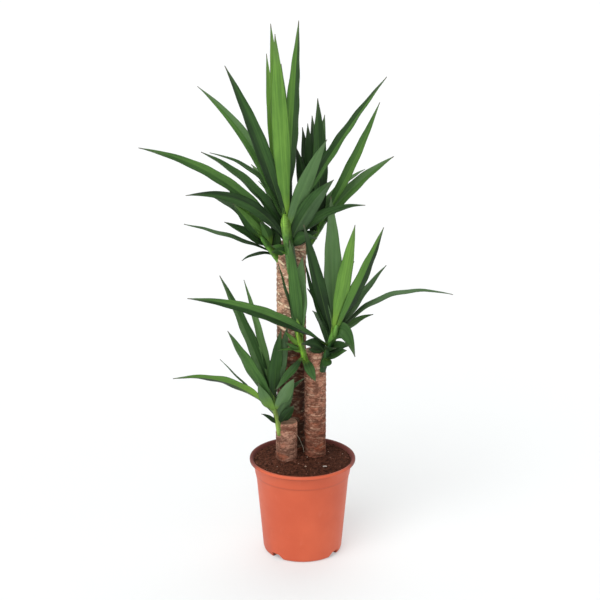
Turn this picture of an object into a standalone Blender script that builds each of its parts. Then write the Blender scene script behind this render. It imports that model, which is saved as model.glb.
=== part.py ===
# Potted yucca: three sawn canes with leafy shoots, in a soil-filled plastic nursery pot.
# Metres, +Z up, the pot's underside on z = 0 and its axis on X = Y = 0. The photo looks along +Y.
import math
import random

import bmesh
import bpy
from mathutils import Matrix, Vector, noise

MM = 0.001
GAP = 0.3 * MM
SEED = 11

# Driving dimensions of the pot
POT_HEIGHT = 223 * MM
RIM_RADIUS = 120 * MM
BASE_RADIUS = 89 * MM
WALL = 2 * MM
FLOOR = 3 * MM
LIP_WIDTH = 6 * MM
LIP_HEIGHT = 7 * MM
POT_STEPS = 36

# Drain notches in the bottom corner, at these bearings, each with its hole at one end
NOTCH_BEARINGS = (231, 322, 51, 142)
NOTCH_HOLE_SIDES = (-1, 1, -1, 1)
NOTCH_WIDTH = 34 * MM
NOTCH_DEPTH = 26 * MM
NOTCH_HEIGHT = 12 * MM
DRAIN_RADIUS = 3.5 * MM
DRAIN_HEIGHT = 7.5 * MM

# Soil
SOIL_EDGE_HEIGHT = 216.5 * MM
SOIL_CENTRE_HEIGHT = 218 * MM
SOIL_ROUGHNESS = 1.6 * MM
CANE_DEPTH_IN_SOIL = 62 * MM

# Canes: place of the axis, radius and height of the sawn top
CANES = {
    "cane_tall": {"at": (-25 * MM, 61 * MM), "radius": 33 * MM, "top": 708 * MM, "rings": 38},
    "cane_medium": {"at": (29 * MM, 22 * MM), "radius": 24 * MM, "top": 471 * MM, "rings": 21},
    "cane_short": {"at": (-36 * MM, 0 * MM), "radius": 24 * MM, "top": 309 * MM, "rings": 11},
}
CANE_SIDES = 16
BARK_RELIEF = 0.8 * MM

# Leaf blade: its thickness along the keel, then its width as shares of the greatest one
KEEL_THICKNESS = 2 * MM
NECK_WIDTH = 0.42
WIDEST_AT = 0.45
TIP_WIDTH = 1.2 * MM
TWIST_DONE_AT = 0.35

# The leaves behind start from this share of the stem's height up.
BEHIND_FROM = 0.5

# The growing point stands this far above the crown.
BUD_LENGTH = 24 * MM

# Shoots: where the stem leaves its cane, where its crown is and how thick the stem is, in
# millimetres, and from what share of the stem's height it carries leaves. Each leaf is (bearing,
# rise, length, width, lift, sway, turn), from the lowest to the highest: degrees for the
# direction from base to tip and for the blade's turn about its keel, and millimetres for the
# rest. Bearing 0 is +X and 270 faces the camera. The leaves behind, which the photo hides, have
# only (bearing, rise, length), and the rest of each is drawn at random with a fixed seed.
SHOOTS = {
    "shoot_tall_front": {
        "cane": "cane_tall",
        "foot": (-23, 30, 660),
        "crown": (-36, -5, 769),
        "stem_radius": 12,
        "leafy_from": 0.25,
        "leaves": [
            (200, 34, 52, 22, 5, 0, 50),
            (208, 16, 48, 22, 5, 0, -70),
            (316, 31, 95, 28, 20, -5, 80),
            (345, 38, 80, 28, 10, 0, 75),
            (332, 34, 220, 26, 28, 0, 50),
            (212, 31, 295, 26, 44, 0, -85),
            (312, 51, 225, 40, 10, -5, 60),
            (198, 36, 405, 28, 38, -5, 58),
            (168, 45, 275, 28, 25, -10, -65),
            (152, 42, 265, 20, 40, -25, 10),
            (154, 49, 150, 30, 10, -5, 30),
            (166, 62, 140, 10, 10, -5, 20),
            (312, 62, 265, 34, 5, -5, 50),
            (158, 56, 375, 28, 32, -10, 60),
            (20, 55, 400, 30, 10, 5, -20),
            (196, 70, 390, 34, 10, 5, -60),
            (120, 77, 380, 28, 0, 5, 10),
            (330, 86, 450, 37, 0, 0, 27),
            (146, 85, 435, 32, 0, 0, 40),
            (252, 81, 425, 38, 0, 0, -15),
        ],
        "behind": [(128, 24, 240), (112, 28, 260), (100, 45, 290), (100, 62, 330), (95, 70, 350)],
    },
    "shoot_tall_left": {
        "cane": "cane_tall",
        "foot": (-52, 55, 671),
        "crown": (-80, 35, 715),
        "stem_radius": 8,
        "leafy_from": 0.2,
        "leaves": [
            (198, -2, 80, 14, 10, -5, 10),
            (100, 82, 66, 28, 0, 0, 0),
            (186, 20, 210, 16, 5, 0, 20),
            (200, 35, 135, 24, 5, 0, 50),
            (70, 61, 64, 20, 0, 5, 20),
            (204, 52, 140, 30, 0, 0, -65),
            (242, 59, 75, 24, 5, 5, -35),
            (184, 57, 175, 28, 5, 0, 55),
            (180, 64, 80, 24, 0, 0, 60),
        ],
        "behind": [(105, 15, 130), (125, 30, 150), (152, 33, 165)],
    },
    "shoot_tall_right": {
        "cane": "cane_tall",
        "foot": (3, 75, 684),
        "crown": (39, 80, 742),
        "stem_radius": 9,
        "leafy_from": 0.3,
        "leaves": [
            (18, 46, 195, 20, 5, 5, -15),
            (4, 46, 265, 34, 15, 5, -40),
            (134, 83, 250, 34, 0, 0, 10),
            (180, 87, 255, 34, 0, 0, -80),
            (185, 78, 200, 36, 0, 0, -75),
            (348, 65, 325, 24, -5, 0, 65),
            (106, 78, 250, 36, 0, 0, -15),
            (126, 88, 285, 38, 0, 0, 5),
        ],
        "behind": [(70, 20, 190), (50, 33, 215), (110, 45, 230), (85, 60, 260)],
    },
    "shoot_medium_right": {
        "cane": "cane_medium",
        "foot": (46, 5, 439),
        "crown": (70, -15, 521),
        "stem_radius": 9,
        "leafy_from": 0.2,
        "leaves": [
            (325, 30, 66, 24, 5, 0, -70),
            (262, -5, 50, 22, 0, 5, 15),
            (224, 31, 90, 26, 15, 0, -80),
            (324, 28, 70, 24, 10, 0, -85),
            (335, 0, 66, 38, 58, 0, -70),
            (285, 25, 58, 32, 0, 0, 5),
            (190, 2, 46, 26, 0, 0, -75),
            (210, 26, 385, 30, 22, 0, 55),
            (6, 22, 295, 20, 50, 15, -15),
            (156, 65, 135, 24, 12, -5, 30),
            (20, 52, 210, 26, 5, 0, -15),
            (158, 70, 190, 14, -5, 5, 25),
            (216, 74, 285, 28, 0, 0, -54),
            (348, 67, 280, 34, -5, 0, 50),
            (134, 88, 315, 42, 0, 0, 25),
            (310, 76, 270, 34, 0, 0, 25),
        ],
        "behind": [(110, 30, 120), (25, 28, 120), (85, 55, 200), (60, 58, 170)],
    },
    "shoot_medium_left": {
        "cane": "cane_medium",
        "foot": (8, 4, 446),
        "crown": (-6, -20, 509),
        "stem_radius": 7,
        "leafy_from": 0.2,
        "leaves": [
            (296, -34, 65, 22, 0, 0, -30),
            (216, -39, 100, 20, 0, 0, 25),
            (222, 37, 65, 12, 0, 0, -75),
            (216, 13, 70, 8, 5, 0, 30),
            (216, 47, 70, 12, 0, 0, -50),
            (164, 74, 195, 14, 0, 0, 10),
            (231, 81, 250, 28, 0, 0, -39),
            (68, 86, 195, 40, 0, 5, 0),
            (236, 78, 55, 14, 0, 0, -5),
        ],
        "behind": [],
    },
    "shoot_short": {
        "cane": "cane_short",
        "foot": (-52, -14, 293),
        "crown": (-64, -20, 362),
        "stem_radius": 7,
        "leafy_from": 0.1,
        "leaves": [
            (218, 42, 65, 10, 5, 0, -75),
            (320, 52, 75, 24, 0, 0, 50),
            (310, 60, 110, 26, 5, 0, 35),
            (332, 59, 135, 16, 15, -5, 55),
            (156, 54, 125, 10, 10, -5, 10),
            (176, 47, 185, 8, 0, 0, -50),
            (198, 26, 262, 28, 32, -5, -50),
            (215, 60, 95, 26, -5, 0, -50),
            (302, 53, 130, 30, 0, 0, 45),
            (204, 61, 230, 34, 0, 0, -40),
            (158, 76, 300, 20, 5, 0, 35),
            (186, 69, 330, 34, 5, 0, 45),
            (310, 82, 185, 31, 0, -5, 20),
            (345, 80, 185, 28, 0, 0, 70),
        ],
        "behind": [(130, 40, 120), (120, 60, 170), (140, 62, 170)],
    },
}


def new_collection(name):
    collection = bpy.data.collections.new(name)
    bpy.context.scene.collection.children.link(collection)
    return collection


def new_object(name, mesh, collection):
    obj = bpy.data.objects.new(name, mesh)
    collection.objects.link(obj)
    return obj


def mesh_from(bm, name):
    bmesh.ops.recalc_face_normals(bm, faces=bm.faces)
    mesh = bpy.data.meshes.new(name)
    bm.to_mesh(mesh)
    bm.free()
    return mesh


def plain_material(name, colour, roughness):
    material = bpy.data.materials.new(name)
    material.use_nodes = True
    shader = material.node_tree.nodes["Principled BSDF"]
    shader.inputs["Base Color"].default_value = (*colour, 1)
    shader.inputs["Roughness"].default_value = roughness
    material.diffuse_color = (*colour, 1)
    return material


def turned(name, profile, steps, collection):
    """A solid of revolution about Z, from (radius, height) points given from the axis outwards."""
    bm = bmesh.new()
    points = [bm.verts.new((radius, 0, height)) for radius, height in profile]
    for first, second in zip(points, points[1:]):
        bm.edges.new((first, second))
    mesh = bpy.data.meshes.new(name)
    bm.to_mesh(mesh)
    bm.free()
    obj = new_object(name, mesh, collection)
    screw = obj.modifiers.new("turn", "SCREW")
    screw.steps = steps
    screw.render_steps = steps
    screw.use_merge_vertices = True
    screw.merge_threshold = 0.00001
    screw.use_normal_calculate = True
    return obj


def apply_modifiers(obj):
    graph = bpy.context.evaluated_depsgraph_get()
    mesh = bpy.data.meshes.new_from_object(obj.evaluated_get(graph))
    obj.modifiers.clear()
    obj.data = mesh


def make_outward(obj):
    bm = bmesh.new()
    bm.from_mesh(obj.data)
    bmesh.ops.recalc_face_normals(bm, faces=bm.faces)
    if bm.calc_volume(signed=True) < 0:
        bmesh.ops.reverse_faces(bm, faces=bm.faces)
    bm.to_mesh(obj.data)
    bm.free()


def combine(obj, others, operation):
    """One exact Boolean with several objects, which are removed after it."""
    helpers = new_collection("helpers_" + obj.name)
    for other in others:
        for owner in list(other.users_collection):
            owner.objects.unlink(other)
        helpers.objects.link(other)
    bpy.context.view_layer.update()
    modifier = obj.modifiers.new(operation.lower(), "BOOLEAN")
    modifier.operation = operation
    modifier.operand_type = "COLLECTION"
    modifier.collection = helpers
    modifier.solver = "MANIFOLD"
    bpy.context.view_layer.update()
    apply_modifiers(obj)
    for other in list(helpers.objects):
        bpy.data.objects.remove(other)
    bpy.data.collections.remove(helpers)


def fill_pockets(obj):
    """Leaf bases that cross can seal a small pocket of air between them: only the outer skin stays."""
    bm = bmesh.new()
    bm.from_mesh(obj.data)
    shells = []
    left = set(bm.verts)
    while left:
        shell, edge = set(), [left.pop()]
        while edge:
            vertex = edge.pop()
            shell.add(vertex)
            for link in vertex.link_edges:
                other = link.other_vert(vertex)
                if other in left:
                    left.remove(other)
                    edge.append(other)
        shells.append(shell)
    shells.sort(key=len)
    for shell in shells[:-1]:
        bmesh.ops.delete(bm, geom=list(shell), context="VERTS")
    bm.to_mesh(obj.data)
    bm.free()


def cylinder(name, radius, length, matrix, sides, collection):
    bm = bmesh.new()
    bmesh.ops.create_cone(
        bm, cap_ends=True, segments=sides, radius1=radius, radius2=radius, depth=length
    )
    bmesh.ops.transform(bm, matrix=matrix, verts=bm.verts)
    return new_object(name, mesh_from(bm, name), collection)


def at_bearing(bearing, radius, height):
    """A matrix whose X axis points outwards at that bearing."""
    turn = Matrix.Rotation(math.radians(bearing), 4, "Z")
    return turn @ Matrix.Translation((radius, 0, height))


# Pot
def wall_radius(height):
    """Outer radius of the pot's wall: a straight taper that opens a little under the lip."""
    taper = BASE_RADIUS + (104 * MM - BASE_RADIUS) * height / (170 * MM)
    return taper + max(0, height - 170 * MM) * 0.07


def inner_radius(height):
    return wall_radius(height) - WALL


def inside_profile(clear):
    """The pot's inside as (radius, height) points, kept clear of its wall and floor."""
    corner = 7 * MM
    points = (
        (0, FLOOR),
        (BASE_RADIUS - WALL - corner, FLOOR),
        (BASE_RADIUS - WALL - 0.35 * corner, FLOOR + 0.3 * corner),
        (inner_radius(FLOOR + 1.3 * corner), FLOOR + 1.3 * corner),
        (inner_radius(170 * MM), 170 * MM),
        (inner_radius(POT_HEIGHT - LIP_HEIGHT - 2 * MM), POT_HEIGHT - LIP_HEIGHT - 2 * MM),
    )
    return [(max(0, radius - clear), height + clear * (height == FLOOR)) for radius, height in points]


def notch_outline(side, grow, low):
    """The notch seen from outside, as (across, height) points. It is upright at the side of its
    hole and slopes at 45 degrees at the other; grow is added all round."""
    top = NOTCH_HEIGHT + grow
    upright = side * (0.5 * NOTCH_WIDTH + grow)
    sloped = -side * (0.5 * NOTCH_WIDTH + grow * math.sqrt(2))
    return [(upright, low), (upright, top), (sloped + side * top, top), (sloped + side * low, low)]


def notch_prism(name, bearing, side, grow, low, outer, collection):
    """The notch's outline drawn out from its inner wall to the outer radius."""
    bm = bmesh.new()
    ends = []
    for radius in (BASE_RADIUS - NOTCH_DEPTH - grow, outer):
        outline = notch_outline(side, grow, low)
        ends.append([bm.verts.new((radius, across, height)) for across, height in outline])
    for end in ends:
        bm.faces.new(end)
    for first in range(4):
        after = (first + 1) % 4
        bm.faces.new((ends[0][first], ends[0][after], ends[1][after], ends[1][first]))
    turn = Matrix.Rotation(math.radians(bearing), 4, "Z")
    bmesh.ops.transform(bm, matrix=turn, verts=bm.verts)
    return new_object(name, mesh_from(bm, name), collection)


def notch_block(bearing, side, grow, collection):
    """The solid that the notch is cut from, standing into the pot and out through its wall."""
    outer = BASE_RADIUS + 8 * MM
    return notch_prism("notch_block", bearing, side, WALL + grow, 1 * MM, outer, collection)


def notches():
    return list(zip(NOTCH_BEARINGS, NOTCH_HOLE_SIDES))


def build_pot(collection):
    groove = 187 * MM
    lip_bottom = POT_HEIGHT - LIP_HEIGHT
    under_lip = POT_HEIGHT - WALL
    neck = RIM_RADIUS - LIP_WIDTH
    corner = 7 * MM
    base = BASE_RADIUS
    outside = [
        (0, 0),
        (base - corner, 0),
        (base - 0.35 * corner, 0.2 * corner),
        (base - 0.05 * corner, 0.6 * corner),
        (wall_radius(1.3 * corner), 1.3 * corner),
        (wall_radius(170 * MM), 170 * MM),
        (wall_radius(groove), groove),
        (wall_radius(groove) + 0.9 * MM, groove + 1 * MM),
        (wall_radius(lip_bottom) + 0.9 * MM, lip_bottom),
        (neck + 1.2 * MM, under_lip),
        (RIM_RADIUS - 3.2 * MM, under_lip),
        (RIM_RADIUS - 2 * MM, lip_bottom),
        (RIM_RADIUS - 0.3 * MM, lip_bottom),
        (RIM_RADIUS, lip_bottom + 0.5 * LIP_HEIGHT),
        (RIM_RADIUS - 0.4 * MM, POT_HEIGHT - 1.2 * MM),
        (RIM_RADIUS - 1.6 * MM, POT_HEIGHT),
        (neck + 0.6 * MM, POT_HEIGHT),
        (neck - 1 * MM, POT_HEIGHT - 1.5 * MM),
    ]
    inside = list(reversed(inside_profile(0)))
    pot = turned("pot", outside + inside, POT_STEPS, collection)
    apply_modifiers(pot)
    make_outward(pot)
    envelope = [(max(0, radius - 0.3 * MM), height + 0.3 * MM) for radius, height in outside[:6]]
    envelope.append((0, outside[5][1] + 0.3 * MM))
    for bearing, side in notches():
        block = notch_block(bearing, side, 0, collection)
        limit = turned("envelope", envelope, POT_STEPS, collection)
        apply_modifiers(limit)
        make_outward(limit)
        combine(block, [limit], "INTERSECT")
        combine(pot, [block], "UNION")
    cutters = []
    for bearing, side in notches():
        low, outer = -10 * MM, BASE_RADIUS + 12 * MM
        cutters.append(notch_prism("notch", bearing, side, 0, low, outer, collection))
        hole = (
            at_bearing(bearing, BASE_RADIUS - NOTCH_DEPTH - 0.5 * WALL, DRAIN_HEIGHT)
            @ Matrix.Translation((0, side * (0.5 * NOTCH_WIDTH - 2 * DRAIN_RADIUS), 0))
            @ Matrix.Rotation(math.radians(90), 4, "Y")
        )
        cutters.append(cylinder("drain_hole", DRAIN_RADIUS, 6 * WALL, hole, 12, collection))
    combine(pot, cutters, "DIFFERENCE")
    pot.data.materials.append(plain_material("terracotta_plastic", (0.62, 0.14, 0.075), 0.5))
    return pot


# Soil
def soil_height(x, y):
    """Height of the soil: a low crown, heaped a little at each cane, and lumpy."""
    reach = min(1, math.hypot(x, y) / inner_radius(SOIL_EDGE_HEIGHT))
    height = SOIL_CENTRE_HEIGHT + (SOIL_EDGE_HEIGHT - SOIL_CENTRE_HEIGHT) * reach**2
    for cane in CANES.values():
        away = math.hypot(x - cane["at"][0], y - cane["at"][1]) - cane["radius"]
        height += 3 * MM * math.exp(-((max(0, away) / (12 * MM)) ** 2))
    lumps = noise.noise(Vector((x, y, 0)) * 60) + 0.6 * noise.noise(Vector((y, x, 3)) * 130)
    return height + SOIL_ROUGHNESS * lumps * (1 - 0.6 * reach**4)


def build_soil(collection):
    clear = 2 * GAP
    top_rings = 6
    profile = inside_profile(clear)[:-1]
    edge = inner_radius(SOIL_EDGE_HEIGHT) - clear
    profile.append((edge, SOIL_EDGE_HEIGHT))
    for ring in range(top_rings - 1, -1, -1):
        profile.append((edge * ring / top_rings, SOIL_EDGE_HEIGHT + 1 * MM))
    soil = turned("soil", profile, POT_STEPS, collection)
    apply_modifiers(soil)
    make_outward(soil)
    for vertex in soil.data.vertices:
        if vertex.co.z > SOIL_EDGE_HEIGHT - 1 * MM:
            vertex.co.z = soil_height(vertex.co.x, vertex.co.y)
    cutters = [notch_block(b, side, clear, collection) for b, side in notches()]
    for cane in CANES.values():
        bottom = SOIL_CENTRE_HEIGHT - CANE_DEPTH_IN_SOIL - GAP
        length = 200 * MM
        middle = Matrix.Translation((*cane["at"], bottom + length / 2))
        radius = cane["radius"] + BARK_RELIEF + GAP
        cutters.append(cylinder("cane_hole", radius, length, middle, 40, collection))
    combine(soil, cutters, "DIFFERENCE")
    soil.data.materials.append(plain_material("potting_soil", (0.045, 0.02, 0.014), 0.95))
    return soil


# Canes
def bark_relief(cane, bearing, height):
    """How far the bark stands out at a bearing and height: slanting leaf scars, worn by noise."""
    spacing = 12 * MM
    slant = 0.35 * math.sin(bearing + height * 9)
    wave = math.sin(2 * math.pi * (height / spacing + slant))
    place = Vector((math.cos(bearing), math.sin(bearing), height * 25 + cane["radius"] * 900))
    return BARK_RELIEF * (0.45 * wave + 0.55 * noise.noise(place * 1.3))


def cane_solid(name, cane, grow, collection):
    """The cane's solid, standing out by grow all round and on top."""
    soil_line = SOIL_EDGE_HEIGHT + 4 * MM
    foot = SOIL_CENTRE_HEIGHT - CANE_DEPTH_IN_SOIL
    rings = cane["rings"]
    levels = [foot, foot + 4 * MM, soil_line]
    step = (cane["top"] - 2 * MM - soil_line) / rings
    levels += [soil_line + step * (ring + 1) for ring in range(rings)] + [cane["top"]]
    bm = bmesh.new()
    loops = []
    for index, height in enumerate(levels):
        loop = []
        for side in range(CANE_SIDES):
            bearing = 2 * math.pi * side / CANE_SIDES
            radius = cane["radius"] + grow
            if index == 0:
                radius -= 3 * MM
            elif index == len(levels) - 1:
                radius -= 1.5 * MM
            elif index > 2:
                radius += bark_relief(cane, bearing, height)
            loop.append(bm.verts.new((radius * math.cos(bearing), radius * math.sin(bearing), height)))
        loops.append(loop)
    for lower, upper in zip(loops, loops[1:]):
        for side in range(CANE_SIDES):
            after = (side + 1) % CANE_SIDES
            bm.faces.new((lower[side], lower[after], upper[after], upper[side]))
    bm.faces.new(loops[0])
    bm.faces.new(loops[-1])
    for vertex in loops[-1]:
        vertex.co.z += grow
    bmesh.ops.translate(bm, vec=(*cane["at"], 0), verts=bm.verts)
    bmesh.ops.triangulate(bm, faces=bm.faces)
    return new_object(name, mesh_from(bm, name), collection)


def build_cane(name, cane, collection):
    obj = cane_solid(name, cane, 0, collection)
    obj.data.materials.append(plain_material(name + "_bark", (0.3, 0.17, 0.11), 0.9))
    return obj


# Leaves
def leaf_width(along):
    """Blade width at a share of the leaf's length, as a share of its greatest width."""
    if along < WIDEST_AT:
        rise = along / WIDEST_AT
        return NECK_WIDTH + (1 - NECK_WIDTH) * rise * rise * (3 - 2 * rise)
    return 1 - ((along - WIDEST_AT) / (1 - WIDEST_AT)) ** 1.7


def leaf_fold(along):
    """Slope of the blade's two halves: a deep gutter at the neck, nearly flat at the tip."""
    return 0.16 + 0.5 * max(0, 1 - along / 0.5) ** 2


def leaf_axis(base, leaf, along):
    """Point, direction and sideways vector of the keel at a share of the leaf's length."""
    bearing, rise, length, _, lift, sway, turn = leaf
    bearing, rise = math.radians(bearing), math.radians(rise)
    outward = Vector((math.cos(bearing), math.sin(bearing), 0))
    across = Vector((-math.sin(bearing), math.cos(bearing), 0))
    chord = outward * math.cos(rise) + Vector((0, 0, math.sin(rise)))
    above = Vector((0, 0, math.cos(rise))) - outward * math.sin(rise)
    bow = (above * lift + across * sway) * MM
    point = base + chord * length * MM * along + bow * 4 * along * (1 - along)
    direction = (chord * length * MM + bow * 4 * (1 - 2 * along)).normalized()
    sideways = (across - direction * across.dot(direction)).normalized()
    twisted = min(1, along / TWIST_DONE_AT)
    angle = math.radians(turn) * twisted * twisted * (3 - 2 * twisted)
    return point, direction, Matrix.Rotation(-angle, 3, direction) @ sideways


def build_leaf(name, base, leaf, collection):
    """A folded strap, diamond-shaped in section, with the same diagonals on both faces."""
    length, width = leaf[2], leaf[3] * MM
    segments = 3 if length < 90 else 4 if length < 160 else 6
    bm = bmesh.new()
    loops = []
    for index in range(segments + 1):
        along = index / segments
        point, direction, sideways = leaf_axis(base, leaf, along)
        normal = direction.cross(sideways)
        half = max(0.5 * TIP_WIDTH, 0.5 * width * leaf_width(along))
        raised = half * leaf_fold(along)
        keel = 0.5 * KEEL_THICKNESS * (1 - 0.4 * along)
        section = ((-half, raised), (0, keel), (half, raised), (0, -keel))
        loops.append([bm.verts.new(point + sideways * a + normal * b) for a, b in section])
    for lower, upper in zip(loops, loops[1:]):
        for first, second, flip in ((0, 1, 0), (1, 2, 1), (2, 3, 0), (3, 0, 1)):
            a, b, c, d = lower[first], lower[second], upper[second], upper[first]
            if flip:
                bm.faces.new((a, b, d))
                bm.faces.new((b, c, d))
            else:
                bm.faces.new((a, b, c))
                bm.faces.new((a, c, d))
    for loop in (loops[0], loops[-1]):
        bm.faces.new((loop[0], loop[1], loop[3]))
        bm.faces.new((loop[1], loop[2], loop[3]))
    return new_object(name, mesh_from(bm, name), collection)


def build_stem(name, foot, crown, radius, collection):
    """The shoot's own stem: out of the cane, then up to the crown in an even curve."""
    curve = bpy.data.curves.new(name, "CURVE")
    curve.dimensions = "3D"
    curve.bevel_depth = radius
    curve.bevel_resolution = 2
    curve.resolution_u = 6
    curve.use_fill_caps = True
    spline = curve.splines.new("POLY")
    bud = (crown - foot).normalized() * BUD_LENGTH
    points = (foot - bud / 2, foot, foot.lerp(crown, 0.5), crown, crown + bud / 2, crown + bud)
    radii = (1, 1, 0.95, 0.95, 0.75, 0.35)
    spline.points.add(len(points) - 1)
    for point, place, share in zip(spline.points, points, radii):
        point.co = (*place, 1)
        point.radius = share
    stem = new_object(name, curve, collection)
    mesh = bpy.data.meshes.new_from_object(stem)
    bpy.data.objects.remove(stem)
    bm = bmesh.new()
    bm.from_mesh(mesh)
    bmesh.ops.remove_doubles(bm, verts=bm.verts, dist=0.00001)
    return new_object(name, mesh_from(bm, name), collection)


def leaves_behind(shoot, draw):
    """The leaves that the photo hides, with the width, bow and turn of each drawn at random."""
    leaves = []
    for bearing, rise, length in shoot["behind"]:
        width = draw.uniform(26, 32)
        lift = length * draw.uniform(0.02, 0.1)
        leaves.append((bearing, rise, length, width, lift, draw.uniform(-8, 8), draw.uniform(-20, 20)))
    return leaves


def build_shoot(name, shoot, draw, collection):
    foot = Vector(shoot["foot"]) * MM
    crown = Vector(shoot["crown"]) * MM
    stem = build_stem(name, foot, crown, shoot["stem_radius"] * MM, collection)
    pieces = []
    behind = leaves_behind(shoot, draw)
    for leaves, lowest in ((shoot["leaves"], shoot["leafy_from"]), (behind, BEHIND_FROM)):
        for index, leaf in enumerate(leaves):
            along = lowest + (1 - lowest) * index / max(1, len(leaves) - 1)
            pieces.append(build_leaf(f"{name}_leaf", foot.lerp(crown, along), leaf, collection))
    combine(stem, pieces, "UNION")
    fill_pockets(stem)
    seat = cane_solid("seat", CANES[shoot["cane"]], GAP, collection)
    combine(stem, [seat], "DIFFERENCE")
    stem.data.materials.append(plain_material(name + "_leaf", (0.07, 0.17, 0.03), 0.5))
    return stem


def main():
    for obj in list(bpy.data.objects):
        bpy.data.objects.remove(obj)
    collection = new_collection("potted_yucca")
    build_pot(collection)
    build_soil(collection)
    for name, cane in CANES.items():
        build_cane(name, cane, collection)
    draw = random.Random(SEED)
    for name, shoot in SHOOTS.items():
        build_shoot(name, shoot, draw, collection)


main()
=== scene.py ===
# %% [markdown]
# A potted yucca, dressed for a picture.
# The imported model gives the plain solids: a nursery pot, its soil, three canes and six leafy
# shoots. Each step below makes the finer piece that stands for one of them, in the same metres and
# in the same place. The photo looks along +Y, and the pot's underside is on z = 0.

# %% The tools and the frame
import math
import random

import bmesh
import bpy
from mathutils import Matrix, Vector, noise


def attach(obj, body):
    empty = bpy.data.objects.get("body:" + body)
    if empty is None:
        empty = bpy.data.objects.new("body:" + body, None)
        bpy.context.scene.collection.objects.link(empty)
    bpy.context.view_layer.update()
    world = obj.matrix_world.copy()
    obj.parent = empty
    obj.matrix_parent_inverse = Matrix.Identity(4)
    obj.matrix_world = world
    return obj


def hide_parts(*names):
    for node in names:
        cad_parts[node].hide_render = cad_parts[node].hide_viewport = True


MM = 0.001
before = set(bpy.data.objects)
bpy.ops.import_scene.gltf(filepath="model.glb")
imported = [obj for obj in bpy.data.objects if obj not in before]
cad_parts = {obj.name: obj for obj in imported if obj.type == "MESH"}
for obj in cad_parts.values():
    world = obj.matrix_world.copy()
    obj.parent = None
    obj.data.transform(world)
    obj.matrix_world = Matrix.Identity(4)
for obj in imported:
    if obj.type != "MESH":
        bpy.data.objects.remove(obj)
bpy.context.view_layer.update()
print(len(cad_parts), "nodes:", ", ".join(sorted(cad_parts)))

# %% [markdown]
# Shader and geometry trees are easier to read as formulas than as node calls.
# One small class wraps a socket, and its operators add the Math or Vector Math nodes, so that
# 1 - mask is written just like that. Every other node comes from its one method, node.


# %% A socket that can be added and multiplied
class Wire:
    """One output socket. Sums and products of wires add the nodes that work them out."""

    def __init__(self, tree, socket):
        self.tree = tree
        self.socket = socket

    @classmethod
    def node(cls, tree, kind, settings=None, inputs=None, output=0):
        """Adds a node: its settings are set first, then its sockets take a value or a wire."""
        node = tree.nodes.new(kind)
        for name, value in (settings or {}).items():
            if name == "stops":
                fill_ramp(node.color_ramp, value)
            else:
                setattr(node, name, value)
        for name, value in (inputs or {}).items():
            if isinstance(value, Wire):
                tree.links.new(value.socket, node.inputs[name])
            else:
                node.inputs[name].default_value = value
        return cls(tree, node.outputs[output])

    def is_vector(self):
        return self.socket.type in ("VECTOR", "RGBA")

    def math(self, operation, *others):
        """A Math node on numbers."""
        inputs = dict(enumerate((self, *others)))
        return Wire.node(self.tree, "ShaderNodeMath", {"operation": operation}, inputs)

    def vector(self, operation, *others, output=0):
        """A Vector Math node."""
        inputs = dict(enumerate((self, *others)))
        settings = {"operation": operation}
        return Wire.node(self.tree, "ShaderNodeVectorMath", settings, inputs, output)

    def dot(self, other):
        return self.vector("DOT_PRODUCT", other, output=1)

    def scaled(self, factor):
        return Wire.node(
            self.tree, "ShaderNodeVectorMath", {"operation": "SCALE"}, {0: self, 3: factor}
        )

    def arithmetic(self, operation, other):
        both = isinstance(other, Wire) and other.is_vector()
        if self.is_vector() or both:
            return self.vector(operation, other)
        return self.math(operation, other)

    def __add__(self, other):
        return self.arithmetic("ADD", other)

    def __radd__(self, other):
        return self.arithmetic("ADD", other)

    def __sub__(self, other):
        return self.arithmetic("SUBTRACT", other)

    def __rsub__(self, other):
        return self.math("MULTIPLY", -1).math("ADD", other)

    def __mul__(self, other):
        if self.is_vector() and not (isinstance(other, Wire) and other.is_vector()):
            return self.scaled(other)
        return self.arithmetic("MULTIPLY", other)

    def __rmul__(self, other):
        return self * other

    def __truediv__(self, other):
        return self.math("DIVIDE", other)

    def __pow__(self, other):
        return self.math("POWER", other)

    def part(self, index):
        """One coordinate of a vector."""
        return Wire.node(self.tree, "ShaderNodeSeparateXYZ", {}, {0: self}, index)

    def step(self, low, high):
        """0 below low, 1 above high and a smooth rise between them."""
        settings = {"interpolation_type": "SMOOTHSTEP"}
        inputs = {"Value": self, "From Min": low, "From Max": high}
        return Wire.node(self.tree, "ShaderNodeMapRange", settings, inputs)

    def mixed(self, first, second):
        """first where this wire is 0 and second where it is 1, for colours."""
        settings = {"data_type": "RGBA"}
        return Wire.node(self.tree, "ShaderNodeMix", settings, {0: self, 6: first, 7: second}, 2)


def fill_ramp(ramp, stops):
    while len(ramp.elements) < len(stops):
        ramp.elements.new(0.5)
    for element, (position, colour) in zip(ramp.elements, stops):
        element.position = position
        element.color = (*colour, 1)


# %% [markdown]
# A finish starts as a Principled shader with plain numbers on its own sockets. What changes over
# the surface is linked afterwards. Bumps go through one Bump node that feeds Normal.


# %% Starting a finish
def new_finish(name, roughness, specular=0.5):
    """A material, its tree and its Principled shader."""
    material = bpy.data.materials.new(name)
    material.use_nodes = True
    tree = material.node_tree
    shader = tree.nodes["Principled BSDF"]
    shader.inputs["Roughness"].default_value = roughness
    shader.inputs["Specular IOR Level"].default_value = specular
    return material, tree, shader


def object_place(tree):
    return Wire.node(tree, "ShaderNodeTexCoord", {}, {}, "Object")


def stored(tree, name, output="Fac"):
    """A value that the mesh carries at each point."""
    return Wire.node(tree, "ShaderNodeAttribute", {"attribute_name": name}, {}, output)


def speckle(tree, place, scale, detail=2.0, roughness=0.5):
    """Noise from about 0 to 1 whose features are 1 / scale of the place's unit."""
    inputs = {"Vector": place, "Scale": scale, "Detail": detail, "Roughness": roughness}
    return Wire.node(tree, "ShaderNodeTexNoise", {}, inputs, "Fac")


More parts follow.
